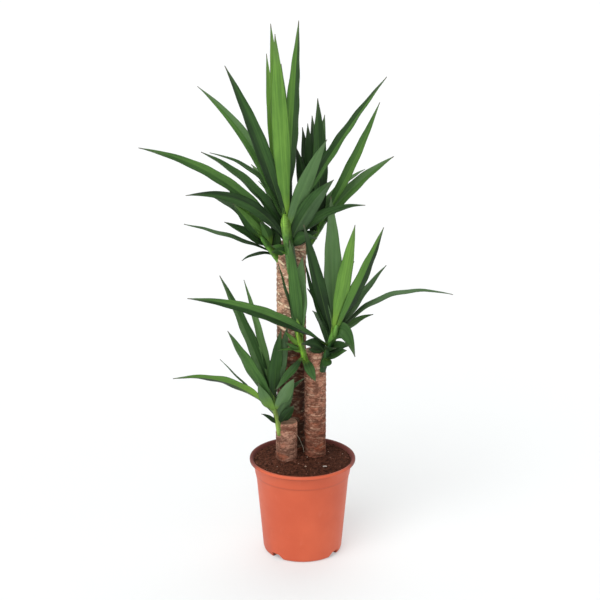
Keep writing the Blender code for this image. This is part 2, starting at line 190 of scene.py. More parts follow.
def stretch(place, factors):
    return place.vector("MULTIPLY", factors)


def colour(red, green, blue):
    return (red, green, blue, 1)


def connect(tree, shader, **wires):
    for name, wire in wires.items():
        tree.links.new(wire.socket, shader.inputs[name.replace("_", " ")])


def bump(tree, height, distance, strength=1.0):
    inputs = {"Height": height, "Distance": distance, "Strength": strength}
    return Wire.node(tree, "ShaderNodeBump", {}, inputs)


# %% [markdown]
# A piece is finished in two ways here. Most meshes are made point by point, and what repeats
# comes from a Geometry Nodes tree whose result is turned into a plain mesh.


# %% Making pieces
def new_piece(name, mesh):
    obj = bpy.data.objects.new(name, mesh)
    bpy.context.scene.collection.objects.link(obj)
    return obj


def mesh_of(name, points, faces):
    mesh = bpy.data.meshes.new(name)
    mesh.from_pydata(points, [], faces)
    bm = bmesh.new()
    bm.from_mesh(mesh)
    bmesh.ops.recalc_face_normals(bm, faces=bm.faces)
    bm.to_mesh(mesh)
    bm.free()
    return mesh


def smooth(mesh, angle=40):
    mesh.shade_smooth()
    mesh.set_sharp_from_angle(angle=math.radians(angle))


def hand_over(piece, nodes):
    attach(piece, "root")
    if nodes:
        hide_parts(*nodes)
    print(piece.name, len(piece.data.polygons), "faces")


def new_tree(name, inputs):
    """A Geometry Nodes tree with named inputs. Gives the tree, its input wires and its end node."""
    tree = bpy.data.node_groups.new(name, "GeometryNodeTree")
    sockets = tree.interface
    sockets.new_socket("Geometry", in_out="INPUT", socket_type="NodeSocketGeometry")
    for label, kind in inputs.items():
        sockets.new_socket(label, in_out="INPUT", socket_type="NodeSocket" + kind)
    sockets.new_socket("Geometry", in_out="OUTPUT", socket_type="NodeSocketGeometry")
    start = tree.nodes.new("NodeGroupInput")
    end = tree.nodes.new("NodeGroupOutput")
    wires = {socket.name: Wire(tree, socket) for socket in start.outputs if socket.name}
    return tree, wires, end


def grown(name, start, tree, values):
    """The plain mesh that a tree makes from a start mesh."""
    piece = new_piece(name, start)
    modifier = piece.modifiers.new(tree.name, "NODES")
    modifier.node_group = tree
    sockets = {s.name: s.identifier for s in tree.interface.items_tree if s.in_out == "INPUT"}
    for label, value in values.items():
        modifier[sockets[label]] = value
    graph = bpy.context.evaluated_depsgraph_get()
    mesh = bpy.data.meshes.new_from_object(
        piece.evaluated_get(graph), preserve_all_data_layers=True, depsgraph=graph
    )
    piece.modifiers.clear()
    piece.data = mesh
    return piece


def keep(tree, geometry, name, value, kind="FLOAT"):
    """Stores a value under a name at every point."""
    inputs = {"Geometry": geometry, "Name": name, "Value": value}
    settings = {"data_type": kind, "domain": "POINT"}
    return Wire.node(tree, "GeometryNodeStoreNamedAttribute", settings, inputs)


def recall(tree, name, kind="FLOAT"):
    settings = {"data_type": kind}
    return Wire.node(tree, "GeometryNodeInputNamedAttribute", settings, {"Name": name})


def combined(tree, x, y, z):
    return Wire.node(tree, "ShaderNodeCombineXYZ", {}, {0: x, 1: y, 2: z})


# %% [markdown]
# The plant is measured leaf by leaf. A leaf is a bearing, a rise, a length and a width, then how
# far it bows upwards and sideways, how far its blade turns about the keel, and its colour in a
# word. Bearing 0 is +X and 270 faces the camera. Lengths are in millimetres and angles in
# degrees, as in the model's own source, so that every blade lies in the solid that it stands for.

# %% Leaf colours
# Each word gives the brightness of the green, which is partly the leaf's own tone and partly
# painted light and shade for where the leaf lies, then the share of grey wax, which partly paints
# sheen, and the length in millimetres of the pale neck. Two words with a stroke between them are
# the left and the right half, painted lighter and darker as the light falls on the two sides of the
# fold.
TONES = {
    "bright": (0.92, 0.0, 75),
    "young": (0.85, 0.0, 150),
    "fresh": (0.78, 0.0, 60),
    "mid": (0.55, 0.05, 34),
    "deep": (0.34, 0.05, 20),
    "dark": (0.12, 0.05, 10),
    "wax": (0.6, 0.55, 65),
    "dark wax": (0.2, 0.45, 12),
    "pale wax": (0.7, 0.75, 30),
    "olive": (0.72, 0.45, 30),
}

# %% The shoots
SHOOTS = {
    "tall_front": {
        "foot": (-23, 30, 660),
        "crown": (-36, -5, 769),
        "stem_radius": 12,
        "leafy_from": 0.25,
        "leaves": [
            (200, 34, 52, 22, 5, 0, 50, "mid"),
            (208, 16, 48, 22, 5, 0, -70, "deep"),
            (316, 31, 95, 28, 20, -5, 80, "deep"),
            (345, 38, 80, 28, 10, 0, 75, "dark"),
            (332, 34, 220, 26, 28, 0, 50, "deep"),
            (212, 31, 295, 26, 44, 0, -85, "deep/dark"),
            (312, 51, 225, 40, 10, -5, 60, "deep/dark wax"),
            (198, 36, 405, 28, 38, -5, 58, "deep/mid"),
            (168, 45, 275, 28, 25, -10, -65, "deep"),
            (152, 42, 265, 20, 40, -25, 10, "deep"),
            (154, 49, 150, 30, 10, -5, 30, "dark"),
            (166, 62, 140, 10, 10, -5, 20, "mid"),
            (312, 62, 265, 34, 5, -5, 50, "wax"),
            (158, 56, 375, 28, 32, -10, 60, "mid/wax"),
            (20, 55, 400, 30, 10, 5, -20, "dark/mid"),
            (196, 70, 390, 34, 10, 5, -60, "dark/deep"),
            (120, 77, 380, 28, 0, 5, 10, "bright"),
            (330, 86, 450, 37, 0, 0, 27, "fresh/deep"),
            (146, 85, 435, 32, 0, 0, 40, "bright"),
            (252, 81, 425, 38, 0, 0, -15, "bright"),
        ],
        "behind": [(128, 24, 240), (112, 28, 260), (100, 45, 290), (100, 62, 330), (95, 70, 350)],
    },
    "tall_left": {
        "foot": (-52, 55, 671),
        "crown": (-80, 35, 715),
        "stem_radius": 8,
        "leafy_from": 0.2,
        "leaves": [
            (198, -2, 80, 14, 10, -5, 10, "dark"),
            (100, 82, 66, 28, 0, 0, 0, "deep"),
            (186, 20, 210, 16, 5, 0, 20, "dark wax"),
            (200, 35, 135, 24, 5, 0, 50, "dark"),
            (70, 61, 64, 20, 0, 5, 20, "dark"),
            (204, 52, 140, 30, 0, 0, -65, "deep/fresh"),
            (242, 59, 75, 24, 5, 5, -35, "mid/deep"),
            (184, 57, 175, 28, 5, 0, 55, "fresh"),
            (180, 64, 80, 24, 0, 0, 60, "mid"),
        ],
        "behind": [(105, 15, 130), (125, 30, 150), (152, 33, 165)],
    },
    "tall_right": {
        "foot": (3, 75, 684),
        "crown": (39, 80, 742),
        "stem_radius": 9,
        "leafy_from": 0.3,
        "leaves": [
            (18, 46, 195, 20, 5, 5, -15, "dark"),
            (4, 46, 265, 34, 15, 5, -40, "wax/mid"),
            (134, 83, 250, 34, 0, 0, 10, "dark"),
            (180, 87, 255, 34, 0, 0, -80, "dark"),
            (185, 78, 200, 36, 0, 0, -75, "dark"),
            (348, 65, 325, 24, -5, 0, 65, "mid/fresh"),
            (106, 78, 250, 36, 0, 0, -15, "dark/dark wax"),
            (126, 88, 285, 38, 0, 0, 5, "deep/dark"),
        ],
        "behind": [(70, 20, 190), (50, 33, 215), (110, 45, 230), (85, 60, 260)],
    },
    "medium_right": {
        "foot": (46, 5, 439),
        "crown": (70, -15, 521),
        "stem_radius": 9,
        "leafy_from": 0.2,
        "leaves": [
            (325, 30, 66, 24, 5, 0, -70, "deep"),
            (262, -5, 50, 22, 0, 5, 15, "deep"),
            (224, 31, 90, 26, 15, 0, -80, "dark"),
            (324, 28, 70, 24, 10, 0, -85, "dark"),
            (335, 0, 66, 38, 58, 0, -70, "deep"),
            (285, 25, 58, 32, 0, 0, 5, "dark"),
            (190, 2, 46, 26, 0, 0, -75, "dark"),
            (210, 26, 385, 30, 22, 0, 55, "dark/mid"),
            (6, 22, 295, 20, 50, 15, -15, "dark wax"),
            (156, 65, 135, 24, 12, -5, 30, "dark"),
            (20, 52, 210, 26, 5, 0, -15, "dark wax"),
            (158, 70, 190, 14, -5, 5, 25, "dark"),
            (216, 74, 285, 28, 0, 0, -54, "dark"),
            (348, 67, 280, 34, -5, 0, 50, "fresh/dark"),
            (134, 88, 315, 42, 0, 0, 25, "pale wax/wax"),
            (310, 76, 270, 34, 0, 0, 25, "bright"),
        ],
        "behind": [(110, 30, 120), (25, 28, 120), (85, 55, 200), (60, 58, 170)],
    },
    "medium_left": {
        "foot": (8, 4, 446),
        "crown": (-6, -20, 509),
        "stem_radius": 7,
        "leafy_from": 0.2,
        "leaves": [
            (296, -34, 65, 22, 0, 0, -30, "deep"),
            (216, -39, 100, 20, 0, 0, 25, "deep"),
            (222, 37, 65, 12, 0, 0, -75, "mid"),
            (216, 13, 70, 8, 5, 0, 30, "mid"),
            (216, 47, 70, 12, 0, 0, -50, "fresh"),
            (164, 74, 195, 14, 0, 0, 10, "deep"),
            (231, 81, 250, 28, 0, 0, -39, "mid"),
            (68, 86, 195, 40, 0, 5, 0, "wax"),
            (236, 78, 55, 14, 0, 0, -5, "bright"),
        ],
        "behind": [],
    },
    "short": {
        "foot": (-52, -14, 293),
        "crown": (-64, -20, 362),
        "stem_radius": 7,
        "leafy_from": 0.1,
        "leaves": [
            (218, 42, 65, 10, 5, 0, -75, "dark"),
            (320, 52, 75, 24, 0, 0, 50, "dark"),
            (310, 60, 110, 26, 5, 0, 35, "dark wax"),
            (332, 59, 135, 16, 15, -5, 55, "dark"),
            (156, 54, 125, 10, 10, -5, 10, "deep"),
            (176, 47, 185, 8, 0, 0, -50, "dark wax"),
            (198, 26, 262, 28, 32, -5, -50, "dark/young"),
            (215, 60, 95, 26, -5, 0, -50, "wax"),
            (302, 53, 130, 30, 0, 0, 45, "pale wax"),
            (204, 61, 230, 34, 0, 0, -40, "mid"),
            (158, 76, 300, 20, 5, 0, 35, "olive"),
            (186, 69, 330, 34, 5, 0, 45, "wax/deep"),
            (310, 82, 185, 31, 0, -5, 20, "deep"),
            (345, 80, 185, 28, 0, 0, 70, "dark wax"),
        ],
        "behind": [(130, 40, 120), (120, 60, 170), (140, 62, 170)],
    },
}
LEAF_SEED = 11
BEHIND_FROM = 0.5
BEHIND_TONES = ("deep", "mid", "dark")
print(sum(len(shoot["leaves"]) for shoot in SHOOTS.values()), "leaves that the photo shows")

# %% [markdown]
# On the real plant each blade is a stiff strap. It is narrow and folded like a gutter where it
# leaves the stem, widest a little below its middle, and then tapers to a hard point.
# A grid bent by a formula gives that shape with few inputs, so one Geometry Nodes tree copies the
# grid to every leaf's base, realises the copies and moves their points along each leaf's own keel.

# %% The blade's outline, as wires
BLADE_ROWS = 38
BLADE_COLUMNS = 11
NECK_WIDTH = 0.42
WIDEST_AT = 0.45
TIP_WIDTH = 1.2 * MM
TWIST_DONE_AT = 0.35
OPEN_SLOPE = 0.27
GUTTER_SLOPE = 0.45
GUTTER_LENGTH = 0.5
WAVE_RATE = 95
WAVE_SHIFT = 2.1
BLADE_THICKNESS = 1.3 * MM


def width_share(along):
    """Blade width as a share of the greatest one."""
    rise = (along / WIDEST_AT).math("MINIMUM", 1)
    below = NECK_WIDTH + (1 - NECK_WIDTH) * rise * rise * (3 - 2 * rise)
    fall = ((along - WIDEST_AT) / (1 - WIDEST_AT)).math("MAXIMUM", 0)
    return below - fall**1.7


def fold_slope(along):
    """Slope of the two halves: a gutter at the neck, and an open V further out."""
    return OPEN_SLOPE + GUTTER_SLOPE * (1 - along / GUTTER_LENGTH).math("MAXIMUM", 0) ** 2


# %% The blade tree
def blade_tree():
    inputs = {"Rows": "Int", "Columns": "Int", "Edge wave": "Float", "Finish": "Material"}
    tree, wires, end = new_tree("leaf_blades", inputs)
    sizes = {"Size X": 2, "Size Y": 1, "Vertices X": wires["Columns"], "Vertices Y": wires["Rows"]}
    grid = Wire.node(tree, "GeometryNodeMeshGrid", {}, sizes)
    place = Wire.node(tree, "GeometryNodeInputPosition")
    grid = keep(tree, grid, "across", place.part(0))
    grid = keep(tree, grid, "along", place.part(1) + 0.5)
    copies = Wire.node(
        tree, "GeometryNodeInstanceOnPoints", {}, {"Points": wires["Geometry"], "Instance": grid}
    )
    blades = Wire.node(tree, "GeometryNodeRealizeInstances", {}, {"Geometry": copies})

    across = recall(tree, "across")
    along = recall(tree, "along")
    number = recall(tree, "number")
    length = recall(tree, "length")
    cosine = recall(tree, "bearing").math("COSINE")
    sine = recall(tree, "bearing").math("SINE")
    climb = recall(tree, "rise").math("SINE")
    reach = recall(tree, "rise").math("COSINE")
    outward = combined(tree, cosine, sine, 0)
    beside = combined(tree, -1 * sine, cosine, 0)
    up = combined(tree, 0, 0, 1)
    chord = outward * reach + up * climb
    above = up * reach - outward * climb
    bow = above * recall(tree, "lift") + beside * recall(tree, "sway")
    keel = recall(tree, "base", "FLOAT_VECTOR") + chord * (length * along)
    keel = keel + bow * (4 * along * (1 - along))
    direction = (chord * length + bow * (4 * (1 - 2 * along))).vector("NORMALIZE")
    beside = (beside - direction * beside.dot(direction)).vector("NORMALIZE")
    turned = (along / TWIST_DONE_AT).math("MINIMUM", 1)
    angle = -1 * recall(tree, "turn") * turned * turned * (3 - 2 * turned)
    rotation = {"Vector": beside, "Axis": direction, "Angle": angle}
    beside = Wire.node(tree, "ShaderNodeVectorRotate", {"rotation_type": "AXIS_ANGLE"}, rotation)
    normal = direction.vector("CROSS_PRODUCT", beside)

    half = (0.5 * recall(tree, "width") * width_share(along)).math("MAXIMUM", 0.5 * TIP_WIDTH)
    sideways = half * across
    raised = half * fold_slope(along) * across.math("ABSOLUTE") ** 1.1
    ripple = (length * along * WAVE_RATE + number * WAVE_SHIFT).math("SINE")
    ripple = ripple * along * (1 - along) * wires["Edge wave"] * across * across
    blades = Wire.node(
        tree,
        "GeometryNodeSetPosition",
        {},
        {"Geometry": blades, "Position": keel + beside * sideways + normal * (raised + ripple)},
    )
    skin = combined(tree, sideways, length * along, number)
    blades = keep(tree, blades, "skin", skin, "FLOAT_VECTOR")
    blades = keep(tree, blades, "side", across * recall(tree, "right hand"))
    blades = Wire.node(tree, "GeometryNodeSetShadeSmooth", {}, {"Geometry": blades})
    inputs = {"Geometry": blades, "Material": wires["Finish"]}
    blades = Wire.node(tree, "GeometryNodeSetMaterial", {}, inputs)
    tree.links.new(blades.socket, end.inputs[0])
    return tree


# %% [markdown]
# A leaf's finish follows the blade. Veins and broader streaks run from base to tip, the neck is
# yellow-green where it clasps the stem, and the tip dries to a brown point. The two halves of a
# folded blade catch the light apart, so each half is painted its own tone, lighter or darker as the
# light falls, and its own share of grey wax, which partly paints sheen. The lower blade is painted
# darker as shade in the heart of the shoot. The mesh carries these values, which come from the leaf
# list above.


# %% The leaf finish
def leaf_finish(name, pale):
    """The finish of a blade's face. pale is how much lighter the under face is."""
    material, tree, shader = new_finish(name, 0.5, 0.12)
    skin = stored(tree, "skin", "Vector")
    along = stored(tree, "along")
    side = stored(tree, "side")
    from_keel = side.math("ABSOLUTE")
    # Painted light and shade: each half of the fold takes its own tone and grey share.
    right = side.step(-0.05, 0.05)
    tone = stored(tree, "tone left") * (1 - right) + stored(tree, "tone right") * right
    wax = stored(tree, "wax left") * (1 - right) + stored(tree, "wax right") * right
    veins = speckle(tree, stretch(skin, (1500, 8, 5)), 1, 3, 0.6) - 0.5
    streaks = speckle(tree, stretch(skin, (330, 5, 3.7)), 1, 2) - 0.5
    blotches = speckle(tree, stretch(skin, (50, 13, 7)), 1, 3, 0.55) - 0.5
    stops = (
        (0.0, (0.009, 0.023, 0.007)),
        (0.3, (0.024, 0.066, 0.015)),
        (0.6, (0.058, 0.142, 0.030)),
        (0.85, (0.098, 0.218, 0.038)),
        (1.0, (0.145, 0.298, 0.050)),
    )
    # Painted shade: the lower blade is darker, the more so the darker the leaf.
    painted_base_shade = (1.05 - tone) * (1 - along.step(0.1, 0.5))
    shade = tone + 0.45 * streaks + 0.35 * veins + 0.35 * blotches + pale - 0.5 * painted_base_shade
    green = Wire.node(tree, "ShaderNodeValToRGB", {"stops": stops}, {0: shade})
    # The grey wax is partly painted sheen.
    wax_and_sheen = wax * (1 + 1.2 * blotches + 0.8 * streaks)
    green = wax_and_sheen.math("MINIMUM", 1).mixed(green, colour(0.110, 0.190, 0.088))
    distance = (skin.part(1) + 0.02 * veins) / stored(tree, "neck")
    neck = (1 - distance.step(0.3, 1.0)) * (0.25 + 0.65 * tone)
    green = neck.math("MINIMUM", 1).mixed(green, colour(0.17, 0.32, 0.038))
    rib = (1 - from_keel.step(0.0, 0.09)) * (1 - along.step(0.2, 0.8))
    green = (rib * 0.20).mixed(green, colour(0.16, 0.31, 0.06))
    margin = from_keel.step(0.9, 0.99)
    green = (margin * 0.45).mixed(green, colour(0.015, 0.035, 0.01))
    faded = (along + 0.08 * blotches).step(0.82, 1.0)
    green = (faded * 0.4).mixed(green, colour(0.115, 0.130, 0.090))
    tip = (along + 0.06 * veins).step(0.97, 0.99)
    green = (tip * 0.8).mixed(green, colour(0.095, 0.070, 0.045))
    gloss = 0.46 + 0.3 * blotches + 0.12 * wax
    ribbing = bump(tree, veins + 1.5 * streaks, 0.5 * MM, 0.55)
    connect(tree, shader, Base_Color=green, Roughness=gloss, Normal=ribbing)
    return material


# %% [markdown]
# The points that the tree copies its grid to carry the numbers of each leaf. The leaves that the
# photo hides are drawn in the same order and from the same seed as in the model's source.


# %% The points that carry the leaves
LEAF_ANGLES = {"bearing": 0, "rise": 1, "turn": 6}
LEAF_SIZES = {"length": 2, "width": 3, "lift": 4, "sway": 5}
LEAF_TONE = 7


def leaves_of(shoot, draw):
    """Each leaf of a shoot with its place on the stem."""
    foot = Vector(shoot["foot"]) * MM
    crown = Vector(shoot["crown"]) * MM
    behind = []
    for number, (bearing, rise, length) in enumerate(shoot["behind"]):
        width = draw.uniform(26, 32)
        lift = length * draw.uniform(0.02, 0.1)
        sway = draw.uniform(-8, 8)
        turn = draw.uniform(-20, 20)
        tone = BEHIND_TONES[number % len(BEHIND_TONES)]
        behind.append((bearing, rise, length, width, lift, sway, turn, tone))
    found = []
    for leaves, lowest in ((shoot["leaves"], shoot["leafy_from"]), (behind, BEHIND_FROM)):
        for index, leaf in enumerate(leaves):
            along = lowest + (1 - lowest) * index / max(1, len(leaves) - 1)
            found.append((foot.lerp(crown, along), leaf))
    return found


def right_hand(leaf):
    """1 where the blade's second half lies to the right in the photo, otherwise -1."""
    bearing, rise, turn = (math.radians(leaf[index]) for index in LEAF_ANGLES.values())
    across = Vector((-math.sin(bearing), math.cos(bearing), 0))
    reach = math.cos(rise)
    along = Vector((math.cos(bearing) * reach, math.sin(bearing) * reach, math.sin(rise)))
    return 1.0 if (Matrix.Rotation(-turn, 3, along) @ across).x > 0 else -1.0


def leaf_points(name, leaves):
    """One point for each leaf, with the leaf's numbers stored on it."""
    mesh = bpy.data.meshes.new(name)
    mesh.from_pydata([base for base, _ in leaves], [], [])
    words = [leaf[LEAF_TONE].split("/") for _, leaf in leaves]
    halves = [(TONES[word[0]], TONES[word[-1]]) for word in words]
    columns = {
        "right hand": [right_hand(leaf) for _, leaf in leaves],
        "tone left": [left[0] for left, _ in halves],
        "tone right": [right[0] for _, right in halves],
        "wax left": [left[1] for left, _ in halves],
        "wax right": [right[1] for _, right in halves],
        "neck": [max(left[2], right[2]) * MM for left, right in halves],
        "number": [float(index) for index in range(len(leaves))],
    }
    for label, index in LEAF_ANGLES.items():
        columns[label] = [math.radians(leaf[index]) for _, leaf in leaves]
    for label, index in LEAF_SIZES.items():
        columns[label] = [leaf[index] * MM for _, leaf in leaves]
    for label, values in columns.items():
        mesh.attributes.new(label, "FLOAT", "POINT").data.foreach_set("value", values)
    places = mesh.attributes.new("base", "FLOAT_VECTOR", "POINT")
    places.data.foreach_set("vector", [value for base, _ in leaves for value in base])
    return mesh


# %% Growing the blades
leaf_top = leaf_finish("leaf_upper_face", 0.0)
leaf_under = leaf_finish("leaf_under_face", 0.06)
blades_of = blade_tree()
draw = random.Random(LEAF_SEED)
for label, shoot in SHOOTS.items():
    points = leaf_points("points_" + label, leaves_of(shoot, draw))
    values = {"Rows": BLADE_ROWS, "Columns": BLADE_COLUMNS, "Edge wave": 6 * MM, "Finish": leaf_top}
    piece = grown("blades_" + label, points, blades_of, values)
    piece.data.materials.append(leaf_under)
    skin = piece.modifiers.new("thickness", "SOLIDIFY")
    skin.thickness = BLADE_THICKNESS
    skin.offset = 0
    skin.material_offset = 1
    hand_over(piece, ["shoot_" + label])

# %% [markdown]
# Under the leaves each shoot has a short fleshy stem, marked by rings where old leaves fell off.
# It follows a path and swells and narrows along it, which is what Curve to Mesh is for.

# %% The stem tree
BUD_LENGTH = 24 * MM
STEM_SHARES = (1, 1, 0.95, 0.95, 0.75, 0.35)
STEM_STEP = 0.8 * MM
STEM_RING_SPACING = 4.5 * MM


def stem_tree():
    inputs = {"Radius": "Float", "Sides": "Int", "Ring depth": "Float", "Finish": "Material"}
    tree, wires, end = new_tree("shoot_stem", inputs)
    path = Wire.node(tree, "GeometryNodeMeshToCurve", {}, {"Mesh": wires["Geometry"]})
    inputs = {"Curve": path, "Length": STEM_STEP}
    path = Wire.node(tree, "GeometryNodeResampleCurve", {"mode": "LENGTH"}, inputs)
    height = Wire.node(tree, "GeometryNodeInputPosition").part(2)
    ring = (height * (2 * math.pi / STEM_RING_SPACING)).math("SINE")
    radius = wires["Radius"] * recall(tree, "share") + ring * wires["Ring depth"]
    inputs = {"Resolution": wires["Sides"], "Radius": 1}
    outline = Wire.node(tree, "GeometryNodeCurvePrimitiveCircle", {}, inputs)
    inputs = {"Curve": path, "Profile Curve": outline, "Scale": radius, "Fill Caps": True}
    stem = Wire.node(tree, "GeometryNodeCurveToMesh", {}, inputs)
    stem = Wire.node(tree, "GeometryNodeSetShadeSmooth", {}, {"Geometry": stem})
    inputs = {"Geometry": stem, "Material": wires["Finish"]}
    stem = Wire.node(tree, "GeometryNodeSetMaterial", {}, inputs)
    tree.links.new(stem.socket, end.inputs[0])
    return tree


# %% The stem finish
STEM_COLOURS = {
    "tall_front": ((0.060, 0.155, 0.026), (0.165, 0.335, 0.040)),
    "tall_left": ((0.090, 0.230, 0.022), (0.060, 0.170, 0.022)),
    "tall_right": ((0.110, 0.260, 0.025), (0.060, 0.170, 0.022)),
    "medium_right": ((0.020, 0.070, 0.016), (0.090, 0.220, 0.030)),
    "medium_left": ((0.150, 0.330, 0.025), (0.230, 0.430, 0.035)),
    "short": ((0.170, 0.260, 0.045), (0.150, 0.290, 0.045)),
}


def stem_finish(name, low, high, foot, crown):
    """The skin of a stem, from its colour at the foot to its colour at the crown.

    It is painted lighter on its left side and painted darker on its right, as the leaves shade it
    in the photo.
    """
    material, tree, shader = new_finish(name, 0.5, 0.3)
    place = object_place(tree)
    rings = speckle(tree, stretch(place, (40, 40, 420)), 1, 2)
    streaks = speckle(tree, stretch(place, (170, 170, 9)), 1, 2)
    rise = place.part(2).step(0.35 * foot.z + 0.65 * crown.z, crown.z)
    skin = rise.mixed(colour(*low), colour(*high))
    lean = (crown.x - foot.x) / (crown.z - foot.z)
    middle = (place.part(2) - foot.z) * lean + foot.x
    # Painted light and shade: lighter left of the stem's middle line, darker right of it.
    right = (place.part(0) - middle).step(-5 * MM, 4 * MM)
    skin = skin * ((0.65 + 0.9 * streaks.step(0.3, 0.7)) * (1.1 - 0.6 * right))
    skin = (rings.step(0.6, 0.75) * 0.35).mixed(skin, colour(0.06, 0.07, 0.03))
    connect(tree, shader, Base_Color=skin, Normal=bump(tree, rings + streaks, 0.5 * MM, 0.6))
    return material


# %% Growing the stems
stems_of = stem_tree()
for label, shoot in SHOOTS.items():
    foot = Vector(shoot["foot"]) * MM
    crown = Vector(shoot["crown"]) * MM
    bud = (crown - foot).normalized() * BUD_LENGTH
    path = (foot - bud / 2, foot, foot.lerp(crown, 0.5), crown, crown + bud / 2, crown + bud)
    start = bpy.data.meshes.new("path_" + label)
    start.from_pydata(path, [(index, index + 1) for index in range(len(path) - 1)], [])
    start.attributes.new("share", "FLOAT", "POINT").data.foreach_set("value", STEM_SHARES)
    values = {
        "Radius": shoot["stem_radius"] * MM,
        "Sides": 28,
        "Ring depth": 0.25 * MM,
        "Finish": stem_finish("stem_" + label, *STEM_COLOURS[label], foot, crown),
    }
    piece = grown("stem_" + label, start, stems_of, values)
    hand_over(piece, [])

# %% [markdown]
# The canes are sawn lengths of an old trunk. Their bark is cracked and carries slanting crescents,
# each the scar of a leaf, and the scars are pale where the bark is young. They climb the cane in a
# spiral, as leaves do, so their places follow one rule with a little chance in it.
# The surface is made point by point: the same broad relief as the model's, then the scars. The
# mesh keeps how much of a scar each point is, so that colour and shape agree.

# %% Cane sizes
CANES = {
    "tall": {"at": (-25 * MM, 61 * MM), "radius": 33 * MM, "top": 708 * MM},
    "medium": {"at": (29 * MM, 22 * MM), "radius": 24 * MM, "top": 471 * MM},
    "short": {"at": (-36 * MM, 0 * MM), "radius": 24 * MM, "top": 309 * MM},
}
CANE_FOOT = 155 * MM
CANE_SIDES = 96
CANE_STEP = 1.4 * MM
BARK_RELIEF = 0.8 * MM
RELIEF_SPACING = 12 * MM
SCAR_CLIMB = {"tall": 5.0 * MM, "medium": 4.8 * MM, "short": 4.8 * MM}
SCAR_THICKNESS = {"tall": 5.4 * MM, "medium": 4.2 * MM, "short": 3.6 * MM}
SCAR_SLANT = {"tall": -11 * MM, "medium": -3 * MM, "short": 3 * MM}
SCAR_TURN = math.radians(137.5)
SCARS_FROM = 200 * MM
SCARS_PAST_TOP = 5 * MM
SCAR_REACH = 26 * MM
SCAR_SEED = 23


def smooth_step(low, high, value):
    share = min(1, max(0, (value - low) / (high - low)))
    return share * share * (3 - 2 * share)


def bark_relief(cane, bearing, height):
    """The broad relief of the model's canes."""
    slant = 0.35 * math.sin(bearing + height * 9)
    wave = math.sin(2 * math.pi * (height / RELIEF_SPACING + slant))
    place = Vector((math.cos(bearing), math.sin(bearing), height * 25 + cane["radius"] * 900))
    return BARK_RELIEF * (0.45 * wave + 0.55 * noise.noise(place * 1.3))


# %% The spiral of scars
def scars_of(label, cane):
    """Each scar's bearing, height, half its span in radians, slant, sag and half thickness."""
    draw = random.Random(SCAR_SEED + len(label))
    scars = []
    bearing = draw.uniform(0, 2 * math.pi)
    height = SCARS_FROM
    while height < cane["top"] + SCARS_PAST_TOP:
        span = draw.uniform(0.5, 1.0)
        slant = SCAR_SLANT[label] + draw.uniform(-6, 6) * MM
        sag = draw.uniform(-2, 9) * MM
        thickness = SCAR_THICKNESS[label] * draw.uniform(0.5, 1.1)
        scars.append((bearing, height, span, slant, sag, thickness))
        bearing += SCAR_TURN + draw.uniform(-0.35, 0.35)
        height += SCAR_CLIMB[label] * draw.uniform(0.6, 1.4)
    return scars


def scar_share(scars, bearing, height):
    """How much of a leaf scar a point of the bark is."""
    most = 0
    for middle, level, span, slant, sag, thickness in scars:
        if abs(level - height) > SCAR_REACH:
            continue
        away = (bearing - middle + math.pi) % (2 * math.pi) - math.pi
        if abs(away) > span:
            continue
        offset = abs(height - level - slant * away - sag * away * away)
        if offset < thickness:
            taper = 1 - smooth_step(0.55, 1, abs(away) / span)
            most = max(most, taper * (1 - smooth_step(0.2, 1, offset / thickness)))
    return most


# %% The cane meshes
SAWN_EDGE = 2 * MM
FACE_RINGS = (0.15, 0.35, 0.6, 0.8, 0.95)


def cane_rows(cane):
    """Each ring of points from the foot up: its height, its inset and 1 on the sawn face."""
    top = cane["top"]
    bark_height = top - SAWN_EDGE - CANE_FOOT
    levels = round((bark_height - SAWN_EDGE) / CANE_STEP)
    rows = [(CANE_FOOT + bark_height * level / levels, 0, 0) for level in range(levels + 1)]
    rows += [(top - 0.6 * MM, 0.5 * MM, 0), (top, 1.6 * MM, 1)]
    return rows + [(top, share * cane["radius"], 1) for share in FACE_RINGS]


def cane_mesh(label, cane):
    """The bark and the sawn top, with how much of a scar and of a sawn face each point is."""
    rows = cane_rows(cane)
    all_scars = scars_of(label, cane)
    points = []
    scars = []
    sawn = []
    for height, inset, is_sawn in rows:
        for side in range(CANE_SIDES):
            bearing = 2 * math.pi * side / CANE_SIDES
            scar = 0 if is_sawn else scar_share(all_scars, bearing, height)
            worn = noise.noise(Vector((bearing * 6, height * 130, cane["radius"] * 500)))
            scar *= smooth_step(-0.5, 0.1, worn)
            fibres = noise.noise(Vector((bearing * 14, height * 60, cane["radius"] * 900)))
            relief = bark_relief(cane, bearing, min(height, cane["top"] - SAWN_EDGE))
            radius = cane["radius"] + relief * (1 - is_sawn) - inset
            radius += (0.6 * MM * scar + 0.45 * MM * fibres) * (1 - is_sawn)
            x = cane["at"][0] + radius * math.cos(bearing)
            y = cane["at"][1] + radius * math.sin(bearing)
            points.append((x, y, height))
            scars.append(scar)
            sawn.append(float(is_sawn))
    faces = []
    for row in range(len(rows) - 1):
        for side in range(CANE_SIDES):
            after = (side + 1) % CANE_SIDES
            low = row * CANE_SIDES
            high = low + CANE_SIDES
            faces.append((low + side, low + after, high + after, high + side))
    faces.append(tuple(range(CANE_SIDES)))
    faces.append(tuple(range(len(points) - CANE_SIDES, len(points))))
    mesh = mesh_of("bark_" + label, points, faces)
    mesh.attributes.new("scar", "FLOAT", "POINT").data.foreach_set("value", scars)
    mesh.attributes.new("sawn", "FLOAT", "POINT").data.foreach_set("value", sawn)
    smooth(mesh, 50)
    return mesh


